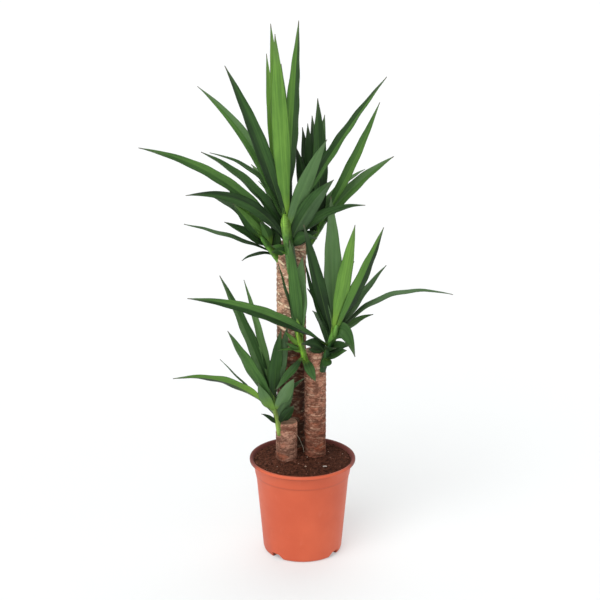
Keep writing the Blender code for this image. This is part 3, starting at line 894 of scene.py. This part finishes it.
# %% The bark finish
def bark_finish(name, old, young, scar_colour, young_from, young_to):
    """Cracked bark, old and dark below the height young_from, young and pale above young_to."""
    material, tree, shader = new_finish(name, 0.85, 0.1)
    place = object_place(tree)
    patches = speckle(tree, stretch(place, (1, 1, 1.8)), 42, 4, 0.6) - 0.5
    flecks = speckle(tree, stretch(place, (1, 1, 3.0)), 170, 3, 0.6) - 0.5
    grain = speckle(tree, stretch(place, (1, 1, 0.22)), 380, 3) - 0.5
    age = (place.part(2) + 0.12 * patches).step(young_from, young_to)
    # On the tall cane the old colour also stands in for the shade between the canes.
    bark = age.mixed(old, young)
    rust = speckle(tree, stretch(place, (1, 1, 1.7)), 30, 3, 0.55).step(0.46, 0.66)
    bark = (rust * (0.7 - 0.45 * age)).mixed(bark, colour(0.30, 0.080, 0.038))
    worn = speckle(tree, stretch(place, (1, 1, 2.6)), 75, 3, 0.55).step(0.5, 0.68)
    bark = (worn * (0.2 + 0.4 * age)).mixed(bark, scar_colour)
    darker = (0.5 + 3.0 * patches + 3.2 * flecks).step(0.1, 0.9)
    bark = (0.7 * (1 - darker)).mixed(bark, colour(0.060, 0.024, 0.015))
    mark = stored(tree, "scar")
    # Painted shade: a dark line along the edge of each scar.
    rim = mark.step(0.0, 0.12) * (1 - mark.step(0.2, 0.5))
    bark = (rim * 0.35).mixed(bark, colour(0.10, 0.040, 0.025))
    scar = mark.step(0.1, 0.9) * (0.14 + 0.76 * age) * (0.95 + 2.4 * flecks)
    bark = scar.math("MINIMUM", 1).mixed(bark, scar_colour)
    cracks = grain.step(0.1, 0.26) * (0.65 - 0.35 * age)
    bark = cracks.mixed(bark, colour(0.030, 0.014, 0.010))
    rings = speckle(tree, place, 60, 2)
    wood = rings.step(0.3, 0.7).mixed(colour(0.20, 0.115, 0.075), colour(0.40, 0.255, 0.170))
    bark = stored(tree, "sawn").mixed(bark, wood)
    relief = bump(tree, flecks + 0.6 * grain, 0.9 * MM, 0.8)
    connect(tree, shader, Base_Color=bark, Normal=relief)
    return material


# %% Setting the canes in place
# Each cane has the colour of its old bark, of its young bark and of its scars. Old bark gives way
# to young bark between the two heights, in metres. The tall cane's old bark is painted near black,
# as old bark and as painted shade between the canes.
BARK_COLOURS = {
    "tall": ((0.055, 0.025, 0.015), (0.60, 0.350, 0.235), (0.88, 0.70, 0.48)),
    "medium": ((0.215, 0.078, 0.048), (0.56, 0.275, 0.180), (0.66, 0.42, 0.29)),
    "short": ((0.29, 0.145, 0.100), (0.60, 0.310, 0.215), (0.66, 0.42, 0.29)),
}
YOUNG_BARK = {"tall": (0.46, 0.56), "medium": (0.22, 0.52), "short": (0.24, 0.36)}
for label, cane in CANES.items():
    shades = [colour(*shade) for shade in BARK_COLOURS[label]]
    piece = new_piece("bark_" + label, cane_mesh(label, cane))
    piece.data.materials.append(bark_finish("bark_" + label, *shades, *YOUNG_BARK[label]))
    hand_over(piece, ["cane_" + label])

# %% [markdown]
# The pot is one thin shell moulded in a soft terracotta-coloured plastic. It is a shape turned
# about its axis, so its outline is written once as radius and height, and revolved.
# Four drain notches are cut from the bottom corner by a Boolean, as in the model.

# %% Pot sizes
POT_HEIGHT = 223 * MM
RIM_RADIUS = 120 * MM
BASE_RADIUS = 89 * MM
WALL = 2 * MM
FLOOR = 3 * MM
LIP_WIDTH = 6 * MM
LIP_HEIGHT = 7 * MM
RING_HEIGHT = 187 * MM
SHOULDER_HEIGHT = 170 * MM
SHOULDER_RADIUS = 104 * MM
FLARE = 0.07
POT_STEPS = 160
NOTCH_BEARINGS = (231, 322, 51, 142)
NOTCH_HOLE_SIDES = (-1, 1, -1, 1)
NOTCH_WIDTH = 34 * MM
NOTCH_DEPTH = 26 * MM
NOTCH_HEIGHT = 12 * MM
DRAIN_RADIUS = 3.5 * MM
DRAIN_HEIGHT = 7.5 * MM
DRAIN_SIDES = 24


def wall_radius(height):
    """The outside of the wall: an even taper, which opens a little more above the shoulder."""
    taper = BASE_RADIUS + (SHOULDER_RADIUS - BASE_RADIUS) * height / SHOULDER_HEIGHT
    return taper + max(0, height - SHOULDER_HEIGHT) * FLARE


def inner_radius(height):
    return wall_radius(height) - WALL


# %% The pot's outline
def pot_outline():
    """(radius, height) from the middle of the underside, round the lip, to the middle inside."""
    base = BASE_RADIUS
    corner = 7 * MM
    lip_bottom = POT_HEIGHT - LIP_HEIGHT
    under_lip = POT_HEIGHT - WALL
    neck = RIM_RADIUS - LIP_WIDTH
    return [
        (0, 0),
        (base - corner, 0),
        (base - 0.62 * corner, 0.05 * corner),
        (base - 0.35 * corner, 0.2 * corner),
        (base - 0.15 * corner, 0.42 * corner),
        (base - 0.05 * corner, 0.7 * corner),
        (wall_radius(1.3 * corner), 1.3 * corner),
        (wall_radius(60 * MM), 60 * MM),
        (wall_radius(120 * MM), 120 * MM),
        (wall_radius(SHOULDER_HEIGHT), SHOULDER_HEIGHT),
        (wall_radius(RING_HEIGHT - 1 * MM), RING_HEIGHT - 1 * MM),
        (wall_radius(RING_HEIGHT) + 0.1 * MM, RING_HEIGHT - 0.3 * MM),
        (wall_radius(RING_HEIGHT) + 0.8 * MM, RING_HEIGHT + 0.3 * MM),
        (wall_radius(RING_HEIGHT) + 0.9 * MM, RING_HEIGHT + 1 * MM),
        (wall_radius(lip_bottom) + 0.9 * MM, lip_bottom),
        (neck + 1.2 * MM, under_lip),
        (RIM_RADIUS - 3.2 * MM, under_lip),
        (RIM_RADIUS - 2 * MM, lip_bottom),
        (RIM_RADIUS - 0.9 * MM, lip_bottom - 0.1 * MM),
        (RIM_RADIUS - 0.2 * MM, lip_bottom + 0.6 * MM),
        (RIM_RADIUS, lip_bottom + 0.4 * LIP_HEIGHT),
        (RIM_RADIUS - 0.1 * MM, POT_HEIGHT - 2.2 * MM),
        (RIM_RADIUS - 0.6 * MM, POT_HEIGHT - 0.8 * MM),
        (RIM_RADIUS - 1.6 * MM, POT_HEIGHT),
        (neck + 1.4 * MM, POT_HEIGHT),
        (neck + 0.1 * MM, POT_HEIGHT - 0.4 * MM),
        (neck - 1 * MM, POT_HEIGHT - 1.6 * MM),
        (inner_radius(lip_bottom - 2 * MM), lip_bottom - 2 * MM),
        (inner_radius(SHOULDER_HEIGHT), SHOULDER_HEIGHT),
        (inner_radius(12 * MM), 12 * MM),
        (base - WALL - 0.35 * corner, FLOOR + 0.3 * corner),
        (base - WALL - corner, FLOOR),
        (0, FLOOR),
    ]


def revolved(name, outline, steps):
    """The outline turned about Z. Its two ends lie on the axis and close in one point each."""
    points = [(0, 0, outline[0][1])]
    for step in range(steps):
        angle = 2 * math.pi * step / steps
        for radius, height in outline[1:-1]:
            points.append((radius * math.cos(angle), radius * math.sin(angle), height))
    points.append((0, 0, outline[-1][1]))
    count = len(outline) - 2
    last = len(points) - 1
    faces = []
    for step in range(steps):
        here = 1 + step * count
        there = 1 + (step + 1) % steps * count
        faces.append((0, here, there))
        faces.append((last, there + count - 1, here + count - 1))
        for index in range(count - 1):
            faces.append((here + index, there + index, there + index + 1, here + index + 1))
    return new_piece(name, mesh_of(name, points, faces))


# %% [markdown]
# A notch is a recess in the bottom corner, upright at the side of its drain hole and sloped at the
# other. First a block is joined on inside, then a smaller one is cut away, so that the wall runs
# round the recess. The drain hole goes through its inner wall.


# %% Cutting the notches
def prism(name, bearing, outline, inner, outer):
    """An outline of (across, height) points drawn out from the inner to the outer radius."""
    turn = math.radians(bearing)
    points = []
    for out in (inner, outer):
        for across, height in outline:
            x = out * math.cos(turn) - across * math.sin(turn)
            y = out * math.sin(turn) + across * math.cos(turn)
            points.append((x, y, height))
    count = len(outline)
    faces = [(i, (i + 1) % count, count + (i + 1) % count, count + i) for i in range(count)]
    faces += [tuple(range(count)), tuple(range(count, 2 * count))]
    return new_piece(name, mesh_of(name, points, faces))


NOTCH_BLOCK_LOW = 1 * MM
NOTCH_CUTTER_LOW = -10 * MM
BLOCK_PAST_WALL = 8 * MM
CUTTER_PAST_WALL = 12 * MM
BLOCK_SINK = 0.3 * MM


def notch_outline(side, grow, low):
    """The notch seen from outside: upright at the side of its hole, and 45 degrees at the other."""
    top = NOTCH_HEIGHT + grow
    upright = side * (0.5 * NOTCH_WIDTH + grow)
    sloped = -side * (0.5 * NOTCH_WIDTH + grow * math.sqrt(2))
    return [(upright, low), (upright, top), (sloped + side * top, top), (sloped + side * low, low)]


def drain_outline(side):
    """The round drain hole, near the upright side of its notch."""
    middle = side * (0.5 * NOTCH_WIDTH - 2 * DRAIN_RADIUS)
    angles = [2 * math.pi * step / DRAIN_SIDES for step in range(DRAIN_SIDES)]
    return [
        (middle + DRAIN_RADIUS * math.cos(angle), DRAIN_HEIGHT + DRAIN_RADIUS * math.sin(angle))
        for angle in angles
    ]


def combine(piece, others, operation):
    """Applies one Boolean to the piece, then removes what it was combined with."""
    helpers = bpy.data.collections.new("helpers")
    for other in others:
        bpy.context.scene.collection.objects.unlink(other)
        helpers.objects.link(other)
    modifier = piece.modifiers.new(operation.lower(), "BOOLEAN")
    modifier.operation = operation
    modifier.operand_type = "COLLECTION"
    modifier.collection = helpers
    modifier.solver = "MANIFOLD"
    graph = bpy.context.evaluated_depsgraph_get()
    mesh = bpy.data.meshes.new_from_object(piece.evaluated_get(graph))
    piece.modifiers.clear()
    piece.data = mesh
    for other in others:
        bpy.data.objects.remove(other)
    bpy.data.collections.remove(helpers)


def cut_notches(pot):
    """Each block is first trimmed to the pot's own outside, so that it stays within the wall."""
    inner = BASE_RADIUS - NOTCH_DEPTH
    outside = []
    for radius, height in pot_outline()[:8]:
        outside.append((max(0, radius - BLOCK_SINK), height + BLOCK_SINK))
    outside.append((0, outside[-1][1]))
    for bearing, side in zip(NOTCH_BEARINGS, NOTCH_HOLE_SIDES):
        outline = notch_outline(side, WALL, NOTCH_BLOCK_LOW)
        reach = BASE_RADIUS + BLOCK_PAST_WALL
        block = prism("notch_block", bearing, outline, inner - WALL, reach)
        combine(block, [revolved("envelope", outside, POT_STEPS)], "INTERSECT")
        combine(pot, [block], "UNION")
    for bearing, side in zip(NOTCH_BEARINGS, NOTCH_HOLE_SIDES):
        outline = notch_outline(side, 0, NOTCH_CUTTER_LOW)
        notch = prism("notch", bearing, outline, inner, BASE_RADIUS + CUTTER_PAST_WALL)
        outline = drain_outline(side)
        hole = prism("drain_hole", bearing, outline, inner - 3 * WALL, inner + 2 * WALL)
        combine(pot, [notch, hole], "DIFFERENCE")


# %% The pot's plastic
def pot_finish():
    """Satin plastic, a little cloudy and dusty.

    The inside and the top of the rim are darker, most towards the back. The line of the ring and
    the lip all round but the front are painted dark as shade, and the notches as deep shade.
    """
    material, tree, shader = new_finish("terracotta_plastic", 0.42, 0.35)
    place = object_place(tree)
    cloud = speckle(tree, place, 9, 3)
    dust = speckle(tree, stretch(place, (1, 1, 0.4)), 70, 4, 0.6)
    scuffs = speckle(tree, stretch(place, (1, 1, 9)), 30, 4, 0.65)
    skin = cloud.step(0.3, 0.7).mixed(colour(0.54, 0.088, 0.035), colour(0.61, 0.110, 0.045))
    skin = (dust.step(0.55, 0.8) * 0.08).mixed(skin, colour(0.75, 0.36, 0.24))
    skin = (scuffs.step(0.66, 0.78) * 0.10).mixed(skin, colour(0.74, 0.34, 0.23))
    flat = stretch(place, (1, 1, 0)).vector("LENGTH", output=1)
    edge = flat + 0.004 * (dust - 0.5)
    # The inside near the top and the rim's top are darker, most towards the back.
    inside = 1 - edge.step(RIM_RADIUS - LIP_WIDTH - 1 * MM, RIM_RADIUS - 3 * MM)
    high = place.part(2).step(POT_HEIGHT - 14 * MM, POT_HEIGHT - 5 * MM)
    on_top = place.part(2).step(POT_HEIGHT - 1.2 * MM, POT_HEIGHT - 0.5 * MM)
    far_side = (place.part(1) + 0.03 * (cloud - 0.5)).step(-0.07, 0.01)
    darker_rim_and_inside = (inside * high).math("MAXIMUM", on_top * (0.25 + 0.75 * far_side))
    skin = (darker_rim_and_inside * 0.9).mixed(skin, colour(0.075, 0.030, 0.020))
    # Painted shade: a darker line where the wall steps out at the ring.
    painted_groove_shade = 1 - (place.part(2) - RING_HEIGHT + 0.6 * MM).math("ABSOLUTE").step(0.4 * MM, 3.4 * MM)
    skin = (painted_groove_shade * (0.15 + 0.5 * cloud)).mixed(skin, colour(0.36, 0.055, 0.024))
    # Painted shade: the notches and the underside inside the base's edge are dark.
    recess = 1 - (flat + 0.002 * (dust - 0.5)).step(BASE_RADIUS - 6 * MM, BASE_RADIUS - 2 * MM)
    recess = recess * (1 - place.part(2).step(14 * MM, 18 * MM))
    skin = (recess * 0.75).mixed(skin, colour(0.070, 0.018, 0.012))
    # Painted shade: the lip is darker all round but at the front.
    lip = place.part(2).step(POT_HEIGHT - LIP_HEIGHT - 3 * MM, POT_HEIGHT - LIP_HEIGHT)
    sides = (place.part(1) + 0.04 * (dust - 0.5)).step(-0.085, -0.035)
    skin = (lip * sides * 0.85).mixed(skin, colour(0.130, 0.030, 0.023))
    gloss = 0.40 + 0.2 * (dust - 0.5) + 0.15 * scuffs + 0.3 * darker_rim_and_inside
    connect(tree, shader, Base_Color=skin, Roughness=gloss, Normal=bump(tree, dust, 0.1 * MM, 0.3))
    return material


# %% Making the pot
pot = revolved("nursery_pot", pot_outline(), POT_STEPS)
cut_notches(pot)
smooth(pot.data, 32)
pot.data.materials.clear()
pot.data.materials.append(pot_finish())
hand_over(pot, ["pot"])

# %% [markdown]
# Potting soil is a lumpy dark surface strewn with crumbs, and here and there a pale chip.
# The surface is a disc of rings raised by noise. The crumbs are strewn over it by a Geometry
# Nodes tree, because a few thousand of them follow one rule.

# %% Soil sizes
SOIL_EDGE_HEIGHT = 216.5 * MM
SOIL_CENTRE_HEIGHT = 218 * MM
SOIL_DEPTH = 30 * MM
SOIL_GAP = 0.4 * MM
SOIL_ROUGHNESS = 1.6 * MM
SOIL_GRAIN = 0.9 * MM
MOUND_HEIGHT = 3 * MM
MOUND_REACH = 12 * MM
SOIL_RINGS = 90
SOIL_SPOKES = 200


def soil_height(x, y):
    """A flat dome, mounded a little round each cane, with lumps and fine grain."""
    reach = min(1, math.hypot(x, y) / inner_radius(SOIL_EDGE_HEIGHT))
    height = SOIL_CENTRE_HEIGHT + (SOIL_EDGE_HEIGHT - SOIL_CENTRE_HEIGHT) * reach**2
    for cane in CANES.values():
        away = math.hypot(x - cane["at"][0], y - cane["at"][1]) - cane["radius"]
        height += MOUND_HEIGHT * math.exp(-((max(0, away) / MOUND_REACH) ** 2))
    lumps = noise.noise(Vector((x, y, 0)) * 60) + 0.6 * noise.noise(Vector((y, x, 3)) * 130)
    height += SOIL_ROUGHNESS * lumps * (1 - 0.6 * reach**4)
    fine = noise.noise(Vector((x, y, 9)) * 420) + 0.5 * noise.noise(Vector((x, y, 2)) * 900)
    return height + SOIL_GRAIN * fine


# %% The soil's surface
def soil_mesh():
    """A closed plug: the lumpy top, a wall just inside the pot, and a flat bottom."""
    edge = inner_radius(SOIL_EDGE_HEIGHT) - SOIL_GAP
    points = [(0, 0, soil_height(0, 0))]
    for ring in range(1, SOIL_RINGS + 1):
        radius = edge * ring / SOIL_RINGS
        for spoke in range(SOIL_SPOKES):
            angle = 2 * math.pi * spoke / SOIL_SPOKES
            x = radius * math.cos(angle)
            y = radius * math.sin(angle)
            points.append((x, y, soil_height(x, y)))
    low = SOIL_EDGE_HEIGHT - SOIL_DEPTH
    radius = inner_radius(low) - SOIL_GAP
    for spoke in range(SOIL_SPOKES):
        angle = 2 * math.pi * spoke / SOIL_SPOKES
        points.append((radius * math.cos(angle), radius * math.sin(angle), low))
    faces = [(0, 1 + s, 1 + (s + 1) % SOIL_SPOKES) for s in range(SOIL_SPOKES)]
    for ring in range(SOIL_RINGS):
        here = 1 + ring * SOIL_SPOKES
        there = here + SOIL_SPOKES
        for spoke in range(SOIL_SPOKES):
            after = (spoke + 1) % SOIL_SPOKES
            faces.append((here + spoke, there + spoke, there + after, here + after))
    last = 1 + SOIL_RINGS * SOIL_SPOKES
    faces.append(tuple(range(last, last + SOIL_SPOKES)))
    mesh = mesh_of("soil_surface", points, faces)
    smooth(mesh, 60)
    return mesh


# %% The soil's finish
def soil_finish(name, chips):
    """Dark red-brown soil, painted darker on the right as shade. chips: the mesh carries the kind
    of each crumb.
    """
    material, tree, shader = new_finish(name, 0.92, 0.05)
    place = object_place(tree)
    clumps = speckle(tree, place, 120, 4, 0.6)
    grit = speckle(tree, place, 700, 3, 0.7)
    soil = clumps.step(0.3, 0.7).mixed(colour(0.022, 0.008, 0.005), colour(0.120, 0.044, 0.026))
    soil = (grit.step(0.58, 0.72) * 0.55).mixed(soil, colour(0.23, 0.115, 0.075))
    # Painted shade: the soil is darker towards the right.
    painted_shade_right = place.part(0).step(-60 * MM, 70 * MM)
    soil = (painted_shade_right * 0.45).mixed(soil, colour(0.022, 0.008, 0.005))
    if chips:
        kind = stored(tree, "kind")
        soil = (kind.step(0.55, 0.9) * 0.7).mixed(soil, colour(0.16, 0.066, 0.045))
        soil = kind.math("GREATER_THAN", 0.985).mixed(soil, colour(0.36, 0.25, 0.19))
    connect(tree, shader, Base_Color=soil, Normal=bump(tree, clumps + grit, 1.2 * MM, 0.8))
    return material


# %% The crumb tree
FULL_TURN = 6.28
CRUMB_SHAKE = 1.6 * MM


def crumb_tree():
    inputs = {"Density": "Float", "Smallest": "Float", "Largest": "Float", "Finish": "Material"}
    tree, wires, end = new_tree("soil_crumbs", inputs)
    upward = Wire.node(tree, "GeometryNodeInputNormal").part(2).math("GREATER_THAN", 0.3)
    settings = {"distribute_method": "RANDOM"}
    inputs = {"Mesh": wires["Geometry"], "Selection": upward, "Seed": 4}
    inputs["Density"] = wires["Density"]
    spots = Wire.node(tree, "GeometryNodeDistributePointsOnFaces", settings, inputs)
    kind = Wire.node(tree, "FunctionNodeRandomValue", {"data_type": "FLOAT"}, {"Seed": 9}, 1)
    spots = keep(tree, spots, "kind", kind)
    inputs = {0: (0, 0, 0), 1: (FULL_TURN, FULL_TURN, FULL_TURN), "Seed": 2}
    turn = Wire.node(tree, "FunctionNodeRandomValue", {"data_type": "FLOAT_VECTOR"}, inputs)
    inputs = {0: (0.6, 0.6, 0.4), 1: (1.3, 1.3, 0.9), "Seed": 7}
    shape = Wire.node(tree, "FunctionNodeRandomValue", {"data_type": "FLOAT_VECTOR"}, inputs)
    draw = Wire.node(tree, "FunctionNodeRandomValue", {"data_type": "FLOAT"}, {"Seed": 5}, 1)
    size = wires["Smallest"] + (wires["Largest"] - wires["Smallest"]) * draw**3
    crumb = Wire.node(tree, "GeometryNodeMeshIcoSphere", {}, {"Radius": 1, "Subdivisions": 1})
    copies = {"Points": spots, "Instance": crumb, "Rotation": turn, "Scale": shape * size}
    crumbs = Wire.node(tree, "GeometryNodeInstanceOnPoints", {}, copies)
    crumbs = Wire.node(tree, "GeometryNodeRealizeInstances", {}, {"Geometry": crumbs})
    place = Wire.node(tree, "GeometryNodeInputPosition")
    shake = Wire.node(tree, "ShaderNodeTexNoise", {}, {"Vector": place, "Scale": 420}, "Color")
    inputs = {"Geometry": crumbs, "Offset": (shake - (0.5, 0.5, 0.5)) * CRUMB_SHAKE}
    crumbs = Wire.node(tree, "GeometryNodeSetPosition", {}, inputs)
    inputs = {"Geometry": crumbs, "Material": wires["Finish"]}
    crumbs = Wire.node(tree, "GeometryNodeSetMaterial", {}, inputs)
    tree.links.new(crumbs.socket, end.inputs[0])
    return tree


# %% Laying the soil
soil = new_piece("soil_surface", soil_mesh())
soil.data.materials.append(soil_finish("potting_soil", False))
hand_over(soil, ["soil"])
values = {
    "Density": 55000.0,
    "Smallest": 0.7 * MM,
    "Largest": 3.2 * MM,
    "Finish": soil_finish("soil_crumb", True),
}
crumbs = grown("soil_crumbs", soil.data.copy(), crumb_tree(), values)
hand_over(crumbs, [])

# %% [markdown]
# Two things on the soil catch the eye: a dry straw between the canes, and one pale chip.
# The straw is a thin tube along four points, and the chip is a small bent flake.


# %% Straw and chip
def tube(name, points, radius, sides=8):
    """A closed tube of even thickness along the points."""
    ring_points = []
    for index, point in enumerate(points):
        before = points[max(0, index - 1)]
        after = points[min(len(points) - 1, index + 1)]
        direction = (after - before).normalized()
        first = direction.orthogonal().normalized()
        second = direction.cross(first)
        for side in range(sides):
            angle = 2 * math.pi * side / sides
            outward = first * math.cos(angle) + second * math.sin(angle)
            ring_points.append(point + radius * outward)
    faces = []
    for row in range(len(points) - 1):
        for side in range(sides):
            beside = (side + 1) % sides
            low = row * sides
            faces.append((low + side, low + beside, low + sides + beside, low + sides + side))
    faces.append(tuple(range(sides)))
    faces.append(tuple(range(len(ring_points) - sides, len(ring_points))))
    return mesh_of(name, ring_points, faces)


def dry_finish(name, base, vein):
    material, tree, shader = new_finish(name, 0.8, 0.2)
    fibres = speckle(tree, stretch(object_place(tree), (900, 900, 60)), 1, 3)
    skin = fibres.step(0.3, 0.7).mixed(base, vein)
    connect(tree, shader, Base_Color=skin, Normal=bump(tree, fibres, 0.2 * MM, 0.5))
    return material


# %% Laying the straw and the chip
# Places are in millimetres, like the shoots'.
STRAW_PLACES = ((4, 26, 219), (1, 28, 234), (-5, 28, 250), (-13, 27, 266))
STRAW_RADIUS = 0.7 * MM
CHIP_PLACES = ((46, -53, 220.5), (49, -54, 221.6), (52, -54, 221.8), (54, -53, 220.8))
CHIP_RADIUS = 1.5 * MM
CHIP_SIDES = 6

straw_points = [Vector(place) * MM for place in STRAW_PLACES]
straw = new_piece("dry_straw", tube("dry_straw", straw_points, STRAW_RADIUS))
smooth(straw.data, 60)
straw_finish = dry_finish("dry_straw", colour(0.42, 0.36, 0.27), colour(0.68, 0.62, 0.50))
straw.data.materials.append(straw_finish)
hand_over(straw, [])

chip_points = [Vector(place) * MM for place in CHIP_PLACES]
chip = new_piece("pale_chip", tube("pale_chip", chip_points, CHIP_RADIUS, CHIP_SIDES))
chip_finish = dry_finish("pale_chip", colour(0.34, 0.28, 0.24), colour(0.52, 0.46, 0.41))
chip.data.materials.append(chip_finish)
hand_over(chip, [])

# %% [markdown]
# The studio is a wide pale floor under a dim white sky, with one large soft lamp high on the left
# as the key, a weak one on the right and one nearly overhead. The dim sky keeps deep shade between
# the leaves. The floor glows a little, as a lit white table does, so it stays white and takes only
# a faint shadow round the pot. A low white wall rings the floor far away, so that a view from any
# side ends in white, and it throws no shadow on the floor.

# %% The floor
FLOOR_SIZE = 60
FLOOR_DROP = 0.2 * MM


def glowing_finish(name, shade, glow):
    """A pale matt surface that gives off a little white light of its own."""
    material, _, shader = new_finish(name, 0.8, 0.1)
    shader.inputs["Base Color"].default_value = shade
    shader.inputs["Emission Color"].default_value = (1, 1, 1, 1)
    shader.inputs["Emission Strength"].default_value = glow
    return material


floor_mesh = bpy.data.meshes.new("studio_floor")
edge = FLOOR_SIZE / 2
floor_mesh.from_pydata(
    [(-edge, -edge, 0), (edge, -edge, 0), (edge, edge, 0), (-edge, edge, 0)], [], [(0, 1, 2, 3)]
)
floor = new_piece("studio_floor", floor_mesh)
floor.location.z = -FLOOR_DROP
floor.data.materials.append(glowing_finish("pale_floor", colour(0.487, 0.50, 0.50), 0.345))
print("floor", FLOOR_SIZE, "m wide")

# %% The far wall
WALL_RADIUS = 28
WALL_TOP = 9
WALL_SINK = 1 * MM
WALL_SIDES = 96
backdrop_mesh = bmesh.new()
bmesh.ops.create_cone(
    backdrop_mesh, segments=WALL_SIDES, radius1=WALL_RADIUS, radius2=WALL_RADIUS, depth=WALL_TOP
)
backdrop_data = bpy.data.meshes.new("studio_backdrop")
backdrop_mesh.to_mesh(backdrop_data)
backdrop_mesh.free()
backdrop = new_piece("studio_backdrop", backdrop_data)
backdrop.location.z = WALL_TOP / 2 - WALL_SINK
backdrop.data.materials.append(glowing_finish("pale_backdrop", colour(0.42, 0.42, 0.42), 0.95))
backdrop.visible_shadow = False
print("wall", WALL_RADIUS, "m away and", WALL_TOP, "m high")

# %% The sky and the lamps
SKY_STRENGTH = 0.26
world = bpy.data.worlds.new("studio_sky")
bpy.context.scene.world = world
world.use_nodes = True
sky = world.node_tree.nodes["Background"]
sky.inputs["Color"].default_value = (1, 1, 1, 1)
sky.inputs["Strength"].default_value = SKY_STRENGTH


def lamp(name, bearing, rise, strength, spread):
    """A distant lamp that shines from a bearing and a rise. The angles are in degrees."""
    data = bpy.data.lights.new(name, "SUN")
    data.energy = strength
    data.angle = math.radians(spread)
    obj = bpy.data.objects.new(name, data)
    bpy.context.scene.collection.objects.link(obj)
    turn = math.radians(bearing)
    climb = math.radians(rise)
    towards = Vector(
        (math.cos(turn) * math.cos(climb), math.sin(turn) * math.cos(climb), math.sin(climb))
    )
    obj.rotation_mode = "QUATERNION"
    obj.rotation_quaternion = towards.to_track_quat("Z", "Y")
    print(name, "from", bearing, "degrees, at", strength, "W/m2")


lamp("key_lamp", 240, 54, 2.2, 40)
lamp("fill_lamp", 305, 50, 0.35, 60)
lamp("top_lamp", 85, 62, 1.2, 50)

# %% [markdown]
# The camera stands where the photo was taken from: 3.4 m in front of the pot and 1.67 m up, tilted
# 17.5 degrees down, with a long lens. The pot's rim and base in the photo gave these numbers.

# %% The camera
CAMERA_AWAY = 3.4
CAMERA_HEIGHT = 1.667
CAMERA_TILT = 17.5
PICTURE_PIXELS = 600
FOCAL_PIXELS = 1619
POT_OFF_CENTRE_PIXELS = 2.5
SENSOR_WIDTH = 36
FARTHEST_SEEN = 200

camera_data = bpy.data.cameras.new("camera")
camera_data.sensor_width = SENSOR_WIDTH
camera_data.lens = FOCAL_PIXELS / PICTURE_PIXELS * SENSOR_WIDTH
camera_data.shift_x = -POT_OFF_CENTRE_PIXELS / PICTURE_PIXELS
camera = bpy.data.objects.new("camera", camera_data)
bpy.context.scene.collection.objects.link(camera)
camera.location = (0, -CAMERA_AWAY, CAMERA_HEIGHT)
camera.rotation_euler = (math.radians(90 - CAMERA_TILT), 0, 0)
camera_data.clip_end = FARTHEST_SEEN
bpy.context.scene.camera = camera
bpy.context.scene.view_settings.view_transform = "Standard"
bpy.context.scene.view_settings.look = "None"
print("lens", round(camera_data.lens, 1), "mm")
